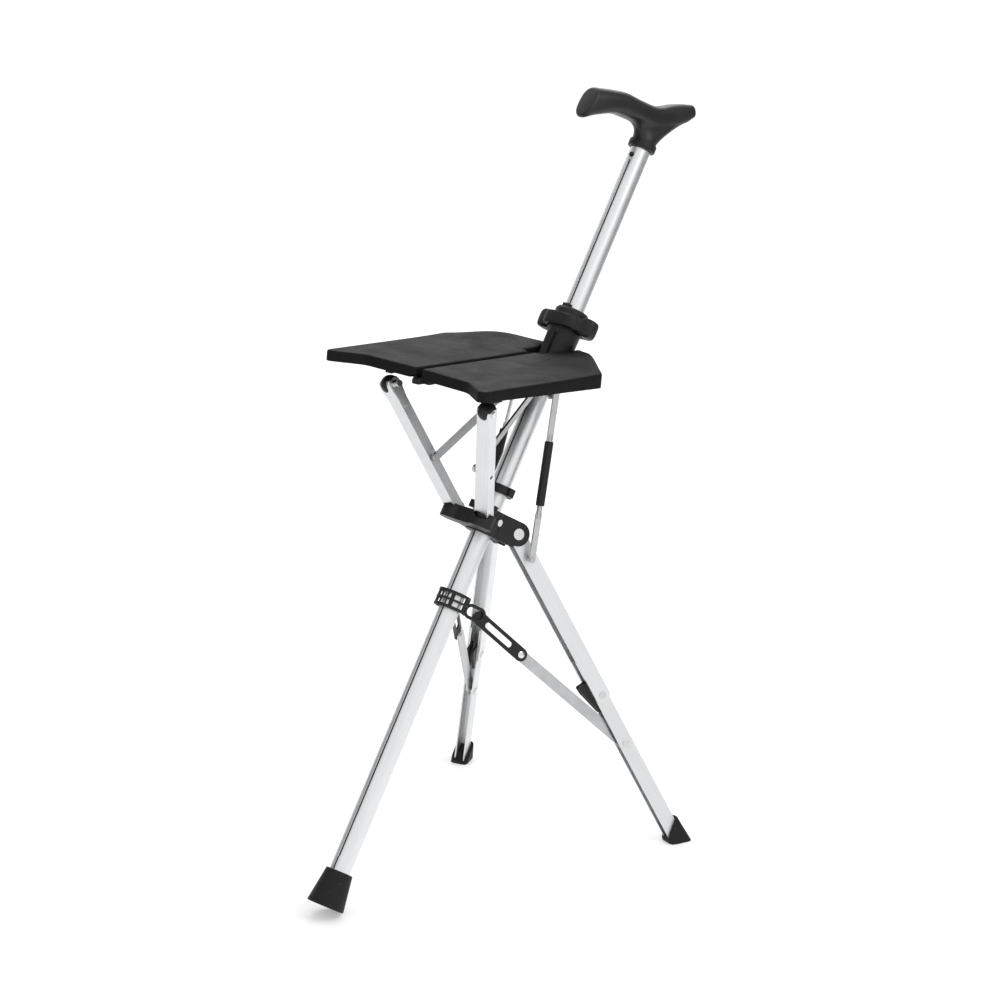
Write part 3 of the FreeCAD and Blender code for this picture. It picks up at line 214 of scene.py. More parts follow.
# %% Black mouldings
def moulded(name, dark, pale, rough, grain_mm, grain_depth_mm, scuff, edge_mm, gloss=0.35, sheen=0.0):
    """Grain breaks up the highlight, clouds keep a large face from looking painted, and pale scuffs show
    that it has been handled. Gloss is the shine at rest, and sheen is the grey bloom of old rubber."""
    material, tree, shader = blank(name)
    at = object_place(tree)
    grain = noise(tree, at, 1000.0 / grain_mm, 2.5, 0.7)
    # Clouds are about 26 mm across
    cloud = noise(tree, at, 38.0, 5.0, 0.6)
    cloud_part = add(tree, "ShaderNodeMath", {"operation": "MULTIPLY"}, i0=cloud, i1=0.45).outputs["Value"]
    both = add(tree, "ShaderNodeMath", {"operation": "MULTIPLY_ADD"}, i0=grain, i1=0.55, i2=cloud_part)
    body = ramp(tree, both.outputs["Value"], 0.34, 0.66, linear(dark), linear(pale))
    # Scuffs are thin streaks about 6 mm long where the noise peaks
    streak_place = add(tree, "ShaderNodeMapping", Vector=at, Rotation=(0.4, 0.2, 0.9), Scale=(160, 900, 900))
    streaks = noise(tree, streak_place.outputs["Vector"], 1.0, 2.0)
    seen = spread(tree, streaks, 0.66, 0.78, 0.0, scuff)
    scuffed = add(tree, "ShaderNodeMix", {"data_type": "RGBA"}, Factor=seen, i6=body, i7=linear("#6C6C6E"))
    tree.links.new(scuffed.outputs[2], shader.inputs["Base Color"])
    tree.links.new(spread(tree, cloud, 0.3, 0.7, rough - 0.06, rough + 0.08), shader.inputs["Roughness"])
    shader.inputs["IOR"].default_value = 1.48
    shader.inputs["Specular IOR Level"].default_value = gloss
    if sheen:
        shader.inputs["Sheen Weight"].default_value = sheen
        shader.inputs["Sheen Roughness"].default_value = 0.4
    relief(tree, shader, grain, strength=0.55, depth_mm=grain_depth_mm, edge_mm=edge_mm)
    return material


print("mouldings ready")

# %% [markdown]
# Which finish goes where. Long metal pieces each get their own copy of the aluminium,
# so that its drawn lines run along that piece. The direction is read from the piece itself:
# the longest principal axis of its vertices.


# %% Give every CAD node its finish
def long_axis(node):
    """Direction of the largest spread of a node's vertices: first singular vector of the centred points."""
    mesh = nodes[node].data
    flat = np.empty(len(mesh.vertices) * 3)
    mesh.vertices.foreach_get("co", flat)
    points = flat.reshape(-1, 3)
    return np.linalg.svd(points - points.mean(0), full_matrices=False)[2][0]


def paint(node, material):
    """Puts one material on a CAD node."""
    mesh = nodes[node].data
    mesh.materials.clear()
    mesh.materials.append(material)


# Colour and roughness of each aluminium piece
SHINE = {"main_tube": ("#E6E7E8", 0.32), "strut": ("#E0E1E2", 0.34), "leg_upper": ("#E4E5E6", 0.34),
         "leg_lower": ("#E0E1E2", 0.36)}
nylon = moulded("Moulded glass-filled nylon, black", "#121214", "#1B1B1D", rough=0.46, grain_mm=0.9,
                grain_depth_mm=0.05, scuff=0.25, edge_mm=0.7)
grip_plastic = moulded("Moulded ABS grip, black", "#161618", "#202022", rough=0.38, grain_mm=0.8,
                       grain_depth_mm=0.03, scuff=0.20, edge_mm=0.8, gloss=0.45)
ring_plastic = moulded("Polished ABS ring, black", "#101012", "#161618", rough=0.26, grain_mm=0.8,
                       grain_depth_mm=0.01, scuff=0.15, edge_mm=0.5, gloss=0.5)
seat_plastic = moulded("Sandblasted polypropylene seat, black", "#0A0A0B", "#141416", rough=0.60,
                       grain_mm=1.3, grain_depth_mm=0.12, scuff=0.12, edge_mm=0.8, gloss=0.15)
rubber = moulded("Carbon-black rubber", "#0F0F10", "#18181A", rough=0.66, grain_mm=1.1,
                 grain_depth_mm=0.06, scuff=0.30, edge_mm=0.9, gloss=0.3, sheen=0.04)
zinc = plated_steel("Zinc plated steel", "#C4C5C6", rough=0.34, cloud_mm=14.0)
bright = plated_steel("Bright nickel plated rivet steel", "#E0E0E0", rough=0.20, cloud_mm=9.0)

FINISHES = (
    (rubber, ("ferrule", "foot_cap")),
    (grip_plastic, ("handle_grip",)),
    (ring_plastic, ("handle_ring",)),
    (seat_plastic, ("seat",)),
    (nylon, ("hub", "stop_ring", "snap_button", "tie_ring", "collar_body", "release_wings", "brake_shoe",
             "seat_spine", "stay_runner", "strap_band", "strap_arm", "strut_block", "strut_ends",
             "leg_cheeks", "tie_sleeve")),
    (zinc, ("ferrule_washer", "handle_stem", "snap_spring", "release_spring", "stay", "bar", "tie_upper",
            "tie_lower")),
    (bright, ("hub_pin", "leg_pins", "tie_pins", "seat_pin", "hinge_pins", "strut_pins", "leg_rivets",
              "bar_pin")))
finish_of = {kind: material for material, kinds in FINISHES for kind in kinds}
for node in nodes:
    kind = node.removesuffix("_near").removesuffix("_far")
    if kind in SHINE:
        shade, rough = SHINE[kind]
        paint(node, satin_aluminium("Satin anodised aluminium, " + node, long_axis(node), shade, rough))
    else:
        paint(node, finish_of[kind])
print("painted", len(nodes), "nodes")

# %% [markdown]
# Smooth forms are made from formulas. Each one is a grid of points: rows run along the piece and columns
# run around it. The grid becomes quads in one go, its open ends are closed, and the finished
# piece is fastened to the CAD body that it moves with. Three short formulas serve nearly every
# grid: a squared circle, a cubic with given slopes, and the angles of a full turn.


# %% From a grid of points to a piece
def show(name, data):
    """A new object at the origin, linked to the scene."""
    item = bpy.data.objects.new(name, data)
    bpy.context.scene.collection.objects.link(item)
    return item


def piece(name, rows, material, body, ring=False, sharp=40.0, hides=()):
    """Quads over points of shape (rows, columns, 3) in drawing mm; the last column joins the first.
    A ring's last row joins its first, any other piece has each end closed by a fan to its middle point."""
    count, around = rows.shape[:2]
    points = rows.reshape(-1, 3)
    along_rows = np.arange(count if ring else count - 1)[:, None]
    column = np.arange(around)[None, :]
    following = (along_rows + 1) % count
    beside = (column + 1) % around
    quads = np.stack([along_rows * around + column, along_rows * around + beside,
                      following * around + beside, following * around + column], -1).reshape(-1, 4)
    faces = quads.tolist()
    if not ring:
        first, last = count * around, count * around + 1
        points = np.vstack([points, rows[0].mean(0), rows[-1].mean(0)])
        column, beside = column[0], beside[0]
        end = (count - 1) * around
        faces += np.stack([np.full(around, first), beside, column], -1).tolist()
        faces += np.stack([np.full(around, last), end + column, end + beside], -1).tolist()
    mesh = bpy.data.meshes.new(name)
    mesh.from_pydata(place(points).tolist(), [], faces)
    shape = bmesh.new()
    shape.from_mesh(mesh)
    bmesh.ops.recalc_face_normals(shape, faces=shape.faces)
    shape.to_mesh(mesh)
    shape.free()
    mesh.shade_smooth()
    mesh.set_sharp_from_angle(angle=math.radians(sharp))
    mesh.materials.append(material)
    item = show(name, mesh)
    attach(item, body)
    if hides:
        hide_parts(*hides)
    print(name, len(mesh.polygons), "faces on", body)


def wave(angle, power):
    """Cosine and sine drawn square: each keeps its sign and is raised to 2 / power, so 2 gives a circle."""
    c, s = np.cos(angle), np.sin(angle)
    return np.sign(c) * np.abs(c) ** (2 / power), np.sign(s) * np.abs(s) ** (2 / power)


def hermite(start, end, start_slope, end_slope, t):
    """Cubic from start to end that leaves and arrives along the given slopes, for t from 0 to 1."""
    return ((2 * t ** 3 - 3 * t ** 2 + 1) * start + (t ** 3 - 2 * t ** 2 + t) * start_slope
            + (3 * t ** 2 - 2 * t ** 3) * end + (t ** 3 - t ** 2) * end_slope)


def turn(count):
    """Angles of a full turn, without the last one, which is the first again."""
    return np.linspace(0, 2 * np.pi, count, endpoint=False)


# %% [markdown]
# The handle grip. A moulded cane handle has a long palm rest at the front, a dip behind it and a raised
# tail, and its neck flows into the underside without an edge. The grip is a row of soft oval
# sections joined by cubics. The neck is a second skin: each of its lines starts upright on the ring and
# arrives along the grip's own surface, which is what makes the join smooth.


# %% Handle grip
GRIP_TWIST = math.radians(-14.0)
GRIP_SECTIONS = np.array([     # along, middle height, height, width, tilt in degrees
    (-36.5, 846.0, 14.0, 13.5, 40.0),
    (-29.5, 840.6, 18.5, 18.0, 36.0),
    (-17.0, 832.0, 22.0, 23.0, 26.0),
    (3.0, 820.5, 22.5, 26.0, 8.0),
    (26.0, 817.0, 21.5, 28.0, 0.0),
    (47.0, 813.8, 24.5, 28.5, -8.0),
    (65.0, 805.8, 30.0, 27.5, -10.0),
    (77.5, 799.0, 32.5, 25.0, -4.0)])
GRIP_SQUARENESS = 2.6
TAIL_ROUNDING = 5.5
FRONT_ROUNDING = 3.5
NECK_R = 12.0
NECK_Z = 795.5
NECK_MIDDLE = 2.75      # place of the neck's middle along the grip, in sections
NECK_SPAN = (1.3, 1.6)  # how far its loop reaches to the front and to the tail, in sections
NECK_WRAP = 1.12        # how far it climbs the grip's sides, in radians
NECK_LEAVE = 22.0       # how firmly its lines leave the ring and arrive at the grip, in mm
NECK_ARRIVE = 26.0


def twisted(points):
    """Turns points of the grip's own plane about the stick."""
    c, s = math.cos(GRIP_TWIST), math.sin(GRIP_TWIST)
    return np.stack([points[..., 0] * c - points[..., 1] * s, points[..., 0] * s + points[..., 1] * c,
                     points[..., 2]], -1)


def grip_skin(t, angle):
    """Point of the grip at section place t and angle: cubics through the section table give the oval's
    middle, height, width and tilt; the oval is a superellipse in a plane tilted about Y."""
    slopes = np.gradient(GRIP_SECTIONS, axis=0)
    k = np.clip(np.floor(t).astype(int), 0, len(GRIP_SECTIONS) - 2)
    section = hermite(GRIP_SECTIONS[k], GRIP_SECTIONS[k + 1], slopes[k], slopes[k + 1], (t - k)[..., None])
    along_grip, middle, height, width, tilt = np.moveaxis(section, -1, 0)
    c, s = wave(angle, GRIP_SQUARENESS)
    tilt = np.radians(tilt)
    up = height / 2 * s
    return np.stack([along_grip + up * np.sin(tilt), width / 2 * c, middle + up * np.cos(tilt)], -1)


def rounded_end(section, direction, radius):
    """Rows that round a section off: it shrinks by 1 - cos while it moves out by sin."""
    middle = section.mean(0)
    size = np.linalg.norm(section - middle, axis=1).mean()
    bend = np.linspace(0, np.pi / 2, 7)[1:, None, None]
    shrink = 1 - radius * (1 - np.cos(bend)) / size
    return middle + (section - middle) * shrink + np.asarray(direction, float) * radius * np.sin(bend)


def grip_rows():
    """The skin over all sections, with both ends rounded off."""
    t, angle = np.meshgrid(np.linspace(0, len(GRIP_SECTIONS) - 1, 120), turn(72), indexing="ij")
    rows = grip_skin(t, angle)
    tail = rounded_end(rows[0], (-0.74, 0, 0.62), TAIL_ROUNDING)[::-1]
    front = rounded_end(rows[-1], (0.998, 0, -0.06), FRONT_ROUNDING)
    return twisted(np.concatenate([tail, rows, front]))


def neck_rows():
    """Lines from a circle on the ring to a loop on the grip's underside, each a cubic that
    leaves straight up and arrives in the tangent plane of the grip."""
    angle = turn(96)
    t = NECK_MIDDLE + np.where(np.cos(angle) > 0, *NECK_SPAN) * np.cos(angle)
    under = -np.pi / 2 + NECK_WRAP * np.sin(angle)
    top = grip_skin(t, under)
    step = 0.01
    run = grip_skin(t + step, under) - top
    rise = grip_skin(t, under + step) - top
    normal = np.cross(run, rise)
    normal /= np.linalg.norm(normal, axis=1, keepdims=True)
    out = np.stack([np.cos(angle), np.sin(angle), np.zeros_like(angle)], -1)
    slope = out - normal * (out * normal).sum(1, keepdims=True)
    slope /= np.linalg.norm(slope, axis=1, keepdims=True)
    foot = np.stack([NECK_R * np.cos(angle), NECK_R * np.sin(angle), np.full_like(angle, NECK_Z)], -1)
    part = np.linspace(0, 1, 40)[:, None, None]
    lines = hermite(foot, top, np.array([0, 0, NECK_LEAVE]), slope * NECK_ARRIVE, part)
    # The last loop turns inwards, up into the grip, and the first lies just inside the ring
    inside = top + (top.mean(0) - top) * 0.12 + np.array([0, 0, 2.0])
    below = foot - np.array([0, 0, 0.3])
    return twisted(np.concatenate([below[None], lines, inside[None]]))


piece("grip", grip_rows(), grip_plastic, "stick", hides=("handle_grip",))
piece("grip_neck", neck_rows(), grip_plastic, "stick", sharp=70.0)

# %% [markdown]
# The seat. Each panel is pressed with a crown: its rear rises a few millimetres, which a flat CAD plate
# doesn't show. The skin is a set of loops, each a smaller copy of the plan's outline, lifted by a bell curve.
# The plan itself is a polygon whose corners are rounded by arcs, as a sheet-metal drawing gives it.


# %% Crowned seat skins
SEAT_PITCH = math.radians(27.55)
SEAT_REAR = np.array([-5.8, 0.0, 582.4])
# Corners of a half's plan: along, across, corner radius
SEAT_PLAN = ((-3.0, 17.2, 0.5), (-3.0, 21.0, 2.5), (59.0, 99.0, 9.0), (219.5, 98.0, 4.0), (222.5, 92.0, 4.0),
             (203.0, 63.0, 18.0), (201.0, 3.5, 3.0), (44.2, 3.5, 0.5), (44.2, 11.3, 1.0), (23.0, 11.3, 1.0),
             (15.0, 16.0, 4.0))
SEAT_MIDDLE = np.array([120.0, 50.0])
SKIN_GROWTH = 0.25       # the skin stands this far outside the CAD's skirt
SKIN_THICK = 1.2         # its wall, inwards from the CAD's outline
SKIN_UNDER = -1.6        # height of the skin's underside
SKIN_LIFT = 0.2          # its top over the CAD's top, apart from the crown
SKIN_EDGE = 2.0          # radius of the top edge
CROWN = 7.0              # the crown's height, then its peak and widths, along and across
CROWN_PEAK = (20.0, 62.0)
CROWN_WIDTH = (42.0, 34.0)
SKIRT_AT = (60.0, 205.0)      # between these places along the panel
SKIRT_DEPTH = (12.5, 9.5)     # the skirt's depth falls from the first to the second
FOLD_DEPTH = 6.8              # its depth beside the fold line
STICK_CLEARS = 9.0            # the folded stick passes this near to the fold line
STAY_CLEARS = (186.0, 24.5)   # and the stays within this place along and across


def outline(corners, steps=9, along_edge=14):
    """Polygon with rounded corners. An arc of some steps touches both edges of a corner, and the straight
    runs between arcs get evenly spaced points. Arc points weigh the two radii by sines of the angle."""
    xy = np.array([c[:2] for c in corners])
    before, after = np.roll(xy, 1, 0) - xy, np.roll(xy, -1, 0) - xy
    before /= np.linalg.norm(before, axis=1, keepdims=True)
    after /= np.linalg.norm(after, axis=1, keepdims=True)
    half = np.arccos((before * after).sum(1)) / 2
    middle = before + after
    middle /= np.linalg.norm(middle, axis=1, keepdims=True)
    radius = np.array([c[2] for c in corners])
    centre = xy + middle * (radius / np.sin(half))[:, None]
    touch = (radius / np.tan(half))[:, None]
    start, end = xy + before * touch, xy + after * touch
    part = np.linspace(0, 1, steps)[None, :]
    swing = (np.pi - 2 * half)[:, None]
    weight_start = np.sin((1 - part) * swing) / np.sin(swing)
    weight_end = np.sin(part * swing) / np.sin(swing)
    arcs = (centre[:, None] + weight_start[..., None] * (start - centre)[:, None]
            + weight_end[..., None] * (end - centre)[:, None])
    run = np.linspace(0, 1, along_edge + 2)[None, 1:-1, None]
    lines = end[:, None] + run * (np.roll(start, -1, 0) - end)[:, None]
    return np.concatenate([arcs, lines], 1).reshape(-1, 2)


def grown(loop, by):
    """Loop moved outwards by a distance along the mean of its two neighbouring edges' normals."""
    edge = np.roll(loop, -1, 0) - np.roll(loop, 1, 0)
    normal = np.stack([edge[:, 1], -edge[:, 0]], -1)
    normal /= np.linalg.norm(normal, axis=1, keepdims=True)
    area = (loop[:, 0] * np.roll(loop[:, 1], -1) - np.roll(loop[:, 0], -1) * loop[:, 1]).sum()
    return loop + normal * by * np.sign(area)


def crown(a, y):
    """Bell curve over the rear of the panel: exp of minus the squared distance from its peak, in widths."""
    return CROWN * np.exp(-((a - CROWN_PEAK[0]) / CROWN_WIDTH[0]) ** 2
                          - ((y - CROWN_PEAK[1]) / CROWN_WIDTH[1]) ** 2)


def skirt_depth(a, y):
    """Depth of the panel's skirt: it falls evenly from the rear to the front. Beside the fold line it is
    much less, because the stick and the stays pass there when the seat is folded."""
    beside_fold = (y < STICK_CLEARS) | ((y < STAY_CLEARS[1]) & (a < STAY_CLEARS[0]))
    return np.where(beside_fold, FOLD_DEPTH, np.interp(a, SKIRT_AT, SKIRT_DEPTH))


def loop_at(loop, height):
    """A loop of plan points with a height for each."""
    return np.column_stack([loop, np.broadcast_to(height, len(loop))])


def skin_rows():
    """Loops from the middle of the underside, out, down inside the skirt, round its foot, up its outer face,
    over the rounded edge and inwards across the crowned top."""
    plan = outline(SEAT_PLAN)
    outer, inner = grown(plan, SKIN_GROWTH), grown(plan, -SKIN_THICK)
    rim = grown(outer, -SKIN_EDGE)
    foot = -skirt_depth(*outer.T) - 0.1
    edge_low = crown(*outer.T) - SKIN_EDGE
    rows = [loop_at(SEAT_MIDDLE + (inner - SEAT_MIDDLE) * f, SKIN_UNDER) for f in (0.03, 0.5, 1.0)]
    rows.append(loop_at(inner, foot + 0.7))
    rows += [loop_at(outer, foot * (1 - f) + edge_low * f) for f in (0.0, 0.33, 0.66, 1.0)]
    rows += [loop_at(grown(outer, -SKIN_EDGE * (1 - math.cos(bend))),
                     edge_low + (SKIN_EDGE + SKIN_LIFT) * math.sin(bend))
             for bend in np.linspace(0.3, math.pi / 2, 5)]
    for f in np.linspace(0.96, 0.02, 24):
        loop = SEAT_MIDDLE + (rim - SEAT_MIDDLE) * f
        rows.append(loop_at(loop, crown(*loop.T) + SKIN_LIFT))
    return np.stack(rows)


def seat_to_drawing(points, side):
    """Seat plan (along, across, up) pitched about Y, mirrored for the far half, moved to the seat's rear."""
    a, y, w = points[..., 0], points[..., 1], points[..., 2]
    return np.stack([a * math.cos(SEAT_PITCH) + w * math.sin(SEAT_PITCH), side * y,
                     -a * math.sin(SEAT_PITCH) + w * math.cos(SEAT_PITCH)], -1) + SEAT_REAR


SIDES = ((1, "near"), (-1, "far"))
for side, label in SIDES:
    piece("seat_skin_" + label, seat_to_drawing(skin_rows(), side), seat_plastic, "half_" + label,
          sharp=35.0)

# %% [markdown]
# The release lever. Two thumb wings stand out from a yoke that wraps round the collar. Seen along the
# stick, its outline is a rounded square blended with a long rounded bar. Its section is a soft rectangle
# that grows taller towards the wings.


# %% Release lever
LEVER_Z = 604.0
LEVER_INNER = 18.0
YOKE_HALF = 19.8
WING_REACH = 33.4
WING_HALF = 8.6
WING_FROM = 22.5            # radius where the height starts to grow
WING_RUN = 6.5              # and how much farther out it has grown
LEVER_HEIGHTS = (6.4, 9.1)  # half height at the yoke and at the wings
LEVER_SQUARENESS = 3.6


def lever_rows():
    """Ring round the stick. Outer radius: a smooth maximum (8-norm) of a rounded square and a rounded bar,
    both superellipses of power 4 in polar form. Half height: a smooth step of the radius, 3 w^2 - 2 w^3."""
    around, section = np.meshgrid(turn(192), turn(40), indexing="ij")
    c, s = np.abs(np.cos(around)), np.abs(np.sin(around))
    square = ((c / YOKE_HALF) ** 4 + (s / YOKE_HALF) ** 4) ** -0.25
    bar = ((c / WING_HALF) ** 4 + (s / WING_REACH) ** 4) ** -0.25
    outer = (square ** 8 + bar ** 8) ** 0.125
    wing = np.clip((outer - WING_FROM) / WING_RUN, 0, 1)
    tall = hermite(*LEVER_HEIGHTS, 0.0, 0.0, wing)
    across, high = wave(section, LEVER_SQUARENESS)
    radius = (outer + LEVER_INNER) / 2 + (outer - LEVER_INNER) / 2 * across
    return np.stack([radius * np.cos(around), radius * np.sin(around), LEVER_Z + tall * high], -1)


piece("release_lever", lever_rows(), nylon, "release", ring=True, hides=("release_wings",))

# %% [markdown]
# Turned details: the collar's skirt, the ring under the grip and the domed rivet heads on the strap arms.
# A turned piece is one profile, radius against height, swept about its own axis. The strap arms lie in
# the legs' swing planes, so a second function places points in such a plane.


# %% Turned details
def turned(profile, centre, axis, columns=48):
    """Profile of (radius, height) pairs swept round an axis through the centre: each point is the centre
    plus the height along the axis plus the radius times cosine and sine along two directions across it."""
    profile = np.asarray(profile, float)
    axis = np.asarray(axis, float) / np.linalg.norm(axis)
    side = np.cross(axis, (1.0, 0.0, 0.0) if abs(axis[0]) < 0.8 else (0.0, 1.0, 0.0))
    side /= np.linalg.norm(side)
    other = np.cross(axis, side)
    angle = turn(columns)[None, :, None]
    radius = profile[:, :1, None]
    return (np.asarray(centre, float) + axis * profile[:, 1:, None]
            + radius * (np.cos(angle) * side + np.sin(angle) * other))


def dome(radius, height):
    """Rivet head: a short upright rim, then a parabola to the middle."""
    rim = 0.35
    rho = np.linspace(1, 0.02, 10)
    head = np.stack([radius * rho, rim + (height - rim) * (1 - rho ** 2)], -1)
    return np.vstack([[(radius, 0.0)], head])


SKIRT_BORE = 10.4
SKIRT_R = 15.4
SKIRT_LOW = 568.0
SKIRT_TOP = 598.5
skirt = [(SKIRT_BORE, SKIRT_LOW + 0.6), (SKIRT_R - 1.2, SKIRT_LOW), (SKIRT_R - 0.3, SKIRT_LOW + 0.4),
         (SKIRT_R, SKIRT_LOW + 1.4), (SKIRT_R + 0.4, SKIRT_TOP - 3), (SKIRT_R + 0.9, SKIRT_TOP - 1),
         (SKIRT_R + 0.9, SKIRT_TOP), (SKIRT_BORE, SKIRT_TOP)]
piece("collar_skirt", turned(skirt, (0, 0, 0), (0, 0, 1), 96), nylon, "collar", ring=True)

LEG_PLANE = math.radians(180 - 26.3)   # direction of the near leg's swing plane, seen from above


def leg_point(r, q, z, side):
    """Drawing point of a leg's swing plane: r away from the stick, q across the plane, turned about the
    stick by the plane's direction, and mirrored for the far leg."""
    r, q, z = np.broadcast_arrays(np.asarray(r, float), q, z)
    c, s = math.cos(LEG_PLANE), math.sin(LEG_PLANE)
    return np.stack([r * c - q * s, side * (r * s + q * c), z], -1)


ARM_END_R = 85.84
ARM_END_Z = 300.2
ARM_FACE = -3.65   # outer face of the arm, across the swing plane
EYELET_R = 3.4
EYELET_RISE = 1.0
for side, label in SIDES:
    at, outward = leg_point(ARM_END_R, ARM_FACE, ARM_END_Z, side), leg_point(0, -1, 0, side)
    eyelet = turned(dome(EYELET_R, EYELET_RISE), at, outward)
    piece("arm_eyelet_" + label, eyelet, bright, "arm_" + label)

RING_BORE = 8.9
RING_R = 13.6
RING_LOW = 787.6
RING_HIGH = 795.4
ring = [(RING_BORE, RING_LOW + 0.4), (RING_R - 1.4, RING_LOW), (RING_R - 0.4, RING_LOW + 0.4),
        (RING_R, RING_LOW + 1.4), (RING_R, RING_HIGH - 1.4), (RING_R - 0.4, RING_HIGH - 0.4),
        (RING_R - 1.4, RING_HIGH), (RING_BORE, RING_HIGH)]
piece("grip_ring", turned(ring, (0, 0, 0), (0, 0, 1), 96), nylon, "stick", ring=True,
      sharp=25.0, hides=("handle_ring",))

# %% [markdown]
# The groove along the front of the tube. A black strip in it is painted shade: it keeps the dark line of the
# groove's shade, which a bare aluminium groove would lose in its own reflections. It is one strip with a step
# near its foot.


# %% Groove shade strip
GROOVE_HALF = 0.7
GROOVE_FLOOR = 9.2
GROOVE_FOOT = 59.4
# The groove's painted shade is a dark strip: where it ends along the tube, and its face
SHADE_STRIP_FOOT = 47.2
SHADE_STRIP_TOP = 773.0
SHADE_STRIP_DEEP = 9.48     # the painted shade strip's face, deep in the groove
SHADE_STRIP_FLUSH = 10.03   # and below the groove's foot, at the tube's surface


def groove_shade_rows():
    """A flat strip of painted shade along the tube: each row is a rectangle from the groove's floor to the
    strip's face.
    """
    z = np.array([SHADE_STRIP_FOOT, GROOVE_FOOT, GROOVE_FOOT + 1.0, SHADE_STRIP_TOP])
    outer = np.array([SHADE_STRIP_FLUSH, SHADE_STRIP_FLUSH, SHADE_STRIP_DEEP, SHADE_STRIP_DEEP])
    corner = np.array([[0, -1], [1, -1], [1, 1], [0, 1]])
    x = GROOVE_FLOOR + corner[None, :, 0] * (outer[:, None] - GROOVE_FLOOR)
    y = np.broadcast_to(corner[None, :, 1] * GROOVE_HALF, x.shape)
    return np.stack([x, y, np.broadcast_to(z[:, None], x.shape)], -1)


# A dark strip of painted shade in the groove, in the black nylon
piece("groove_painted_shade", groove_shade_rows(), nylon, "stick", sharp=30.0)

# %% [markdown]
# The strap round the stick is a moulded lattice: three hoops, short posts and a long loop at each
# rear end. Every member is one flat bar that follows a path. Its section is a soft rectangle with one
# side along the stick, so the members meet flush and read as one moulding.


# %% Strap lattice
BAND_Z = 319.0
BAND_R = 14.6
WING_FACE = 4.35        # distance of the long loops from the leg's swing plane
WING_START = LEG_PLANE - math.asin(WING_FACE / BAND_R)
OUTER_HOOP = 7.1        # how far the outer hoops lie from the middle one
# Height of each hoop's middle, and how tall its bar is
HOOPS = ((BAND_Z - OUTER_HOOP, 2.9), (BAND_Z, 2.0), (BAND_Z + OUTER_HOOP, 2.9))
POST_HALF = 7.4         # half length of a post, which ends inside the outer hoops
POST_ANGLES = (35, 97)  # degrees
LOOP_MIDDLE = (24.2, BAND_Z - 2.0)  # distance from the stick, and height
LOOP_STRAIGHT = 4.6     # half of the stadium's straight run
LOOP_R = (5.6, 5.8)     # its round ends, away from the stick and along it
HOOP_THICK = 2.6        # how thick each kind of bar is from its inner to its outer face, and how wide
POST_THICK = 2.4
POST_WIDE = 3.8
END_POST_WIDE = 4.0
LOOP_THICK = 1.7
LOOP_WIDE = 3.2
END_POST_BACK = 0.1     # the end posts stand this far inside the hoops' ends, in radians


def swept(path, wall, high, thick, closed=False):
    """Rows of a soft rectangle: thick along the wall's normal, high across the path within the wall."""
    ahead = np.roll(path, -1, 0) - np.roll(path, 1, 0) if closed else np.gradient(path, axis=0)
    beside = np.cross(wall, ahead)
    beside /= np.linalg.norm(beside, axis=1, keepdims=True)
    c, s = wave(turn(20), 4.0)
    return (path[:, None] + wall[:, None] * (c * thick / 2)[None, :, None]
            + beside[:, None] * (s * high / 2)[None, :, None])


def hoop(z, high):
    """Bar round the front of the stick from one wing's root to the other."""
    angle = np.linspace(-WING_START, WING_START, 90)
    wall = np.stack([np.cos(angle), np.sin(angle), np.zeros_like(angle)], -1)
    return swept(wall * BAND_R + np.array([0, 0, z]), wall, high, HOOP_THICK)


def post(angle, wide):
    """Upright bar at an angle round the stick."""
    z = np.linspace(BAND_Z - POST_HALF, BAND_Z + POST_HALF, 6)
    wall = np.tile([math.cos(angle), math.sin(angle), 0.0], (len(z), 1))
    return swept(wall * BAND_R + np.stack([0 * z, 0 * z, z], -1), wall, wide, POST_THICK)


def wing_loop(side):
    """Stadium-shaped loop in the leg's plane, from the band's end to the arm's hinge."""
    angle = turn(80)
    r = LOOP_MIDDLE[0] + np.where(np.cos(angle) > 0, 1, -1) * LOOP_STRAIGHT + LOOP_R[0] * np.cos(angle)
    z = LOOP_MIDDLE[1] + LOOP_R[1] * np.sin(angle)
    path = leg_point(r, -WING_FACE, z, side)
    wall = np.tile(leg_point(0, -1, 0, side), (len(path), 1))
    return swept(path, wall, LOOP_WIDE, LOOP_THICK, closed=True)


for number, (z, high) in enumerate(HOOPS):
    piece("strap_hoop_%d" % number, hoop(z, high), nylon, "band",
          hides=("strap_band",) if number == 0 else ())
for angle in POST_ANGLES:
    for side, label in SIDES:
        bar = post(side * math.radians(angle), POST_WIDE)
        piece("strap_post_%d_%s" % (angle, label), bar, nylon, "band")
for side, label in SIDES:
    bar = post(side * (WING_START - END_POST_BACK), END_POST_WIDE)
    piece("strap_end_post_" + label, bar, nylon, "band")
    piece("strap_loop_" + label, wing_loop(side), nylon, "band", ring=True)

# %% [markdown]
# The leg's foot. A rubber boot with a slanted upper edge, low at the inner side and high at the outer side,
# ends flat on the floor. Each column of the grid runs from the floor plane to that slanted edge.


# %% Rubber feet
LEG_OPEN = math.radians(55.0)
LEG_PIVOT_R = 31.7
LEG_PIVOT_Z = 401.6
LEG_LENGTH = 350.9
# Half sizes of the boot's foot and of its upper edge, along and across the leg's plane
SOLE = (11.0, 9.3)
CUFF = (9.9, 8.8)
CUFF_RISE = 15.5          # how far the upper edge's middle lies above the leg's end
CUFF_SLANT = 7.5          # and how much higher and lower its outer and inner sides lie
BOOT_SQUARENESS = 5.0
BOOT_LEVELS = (0.0, 0.03, 0.35, 0.7, 0.97, 1.0)


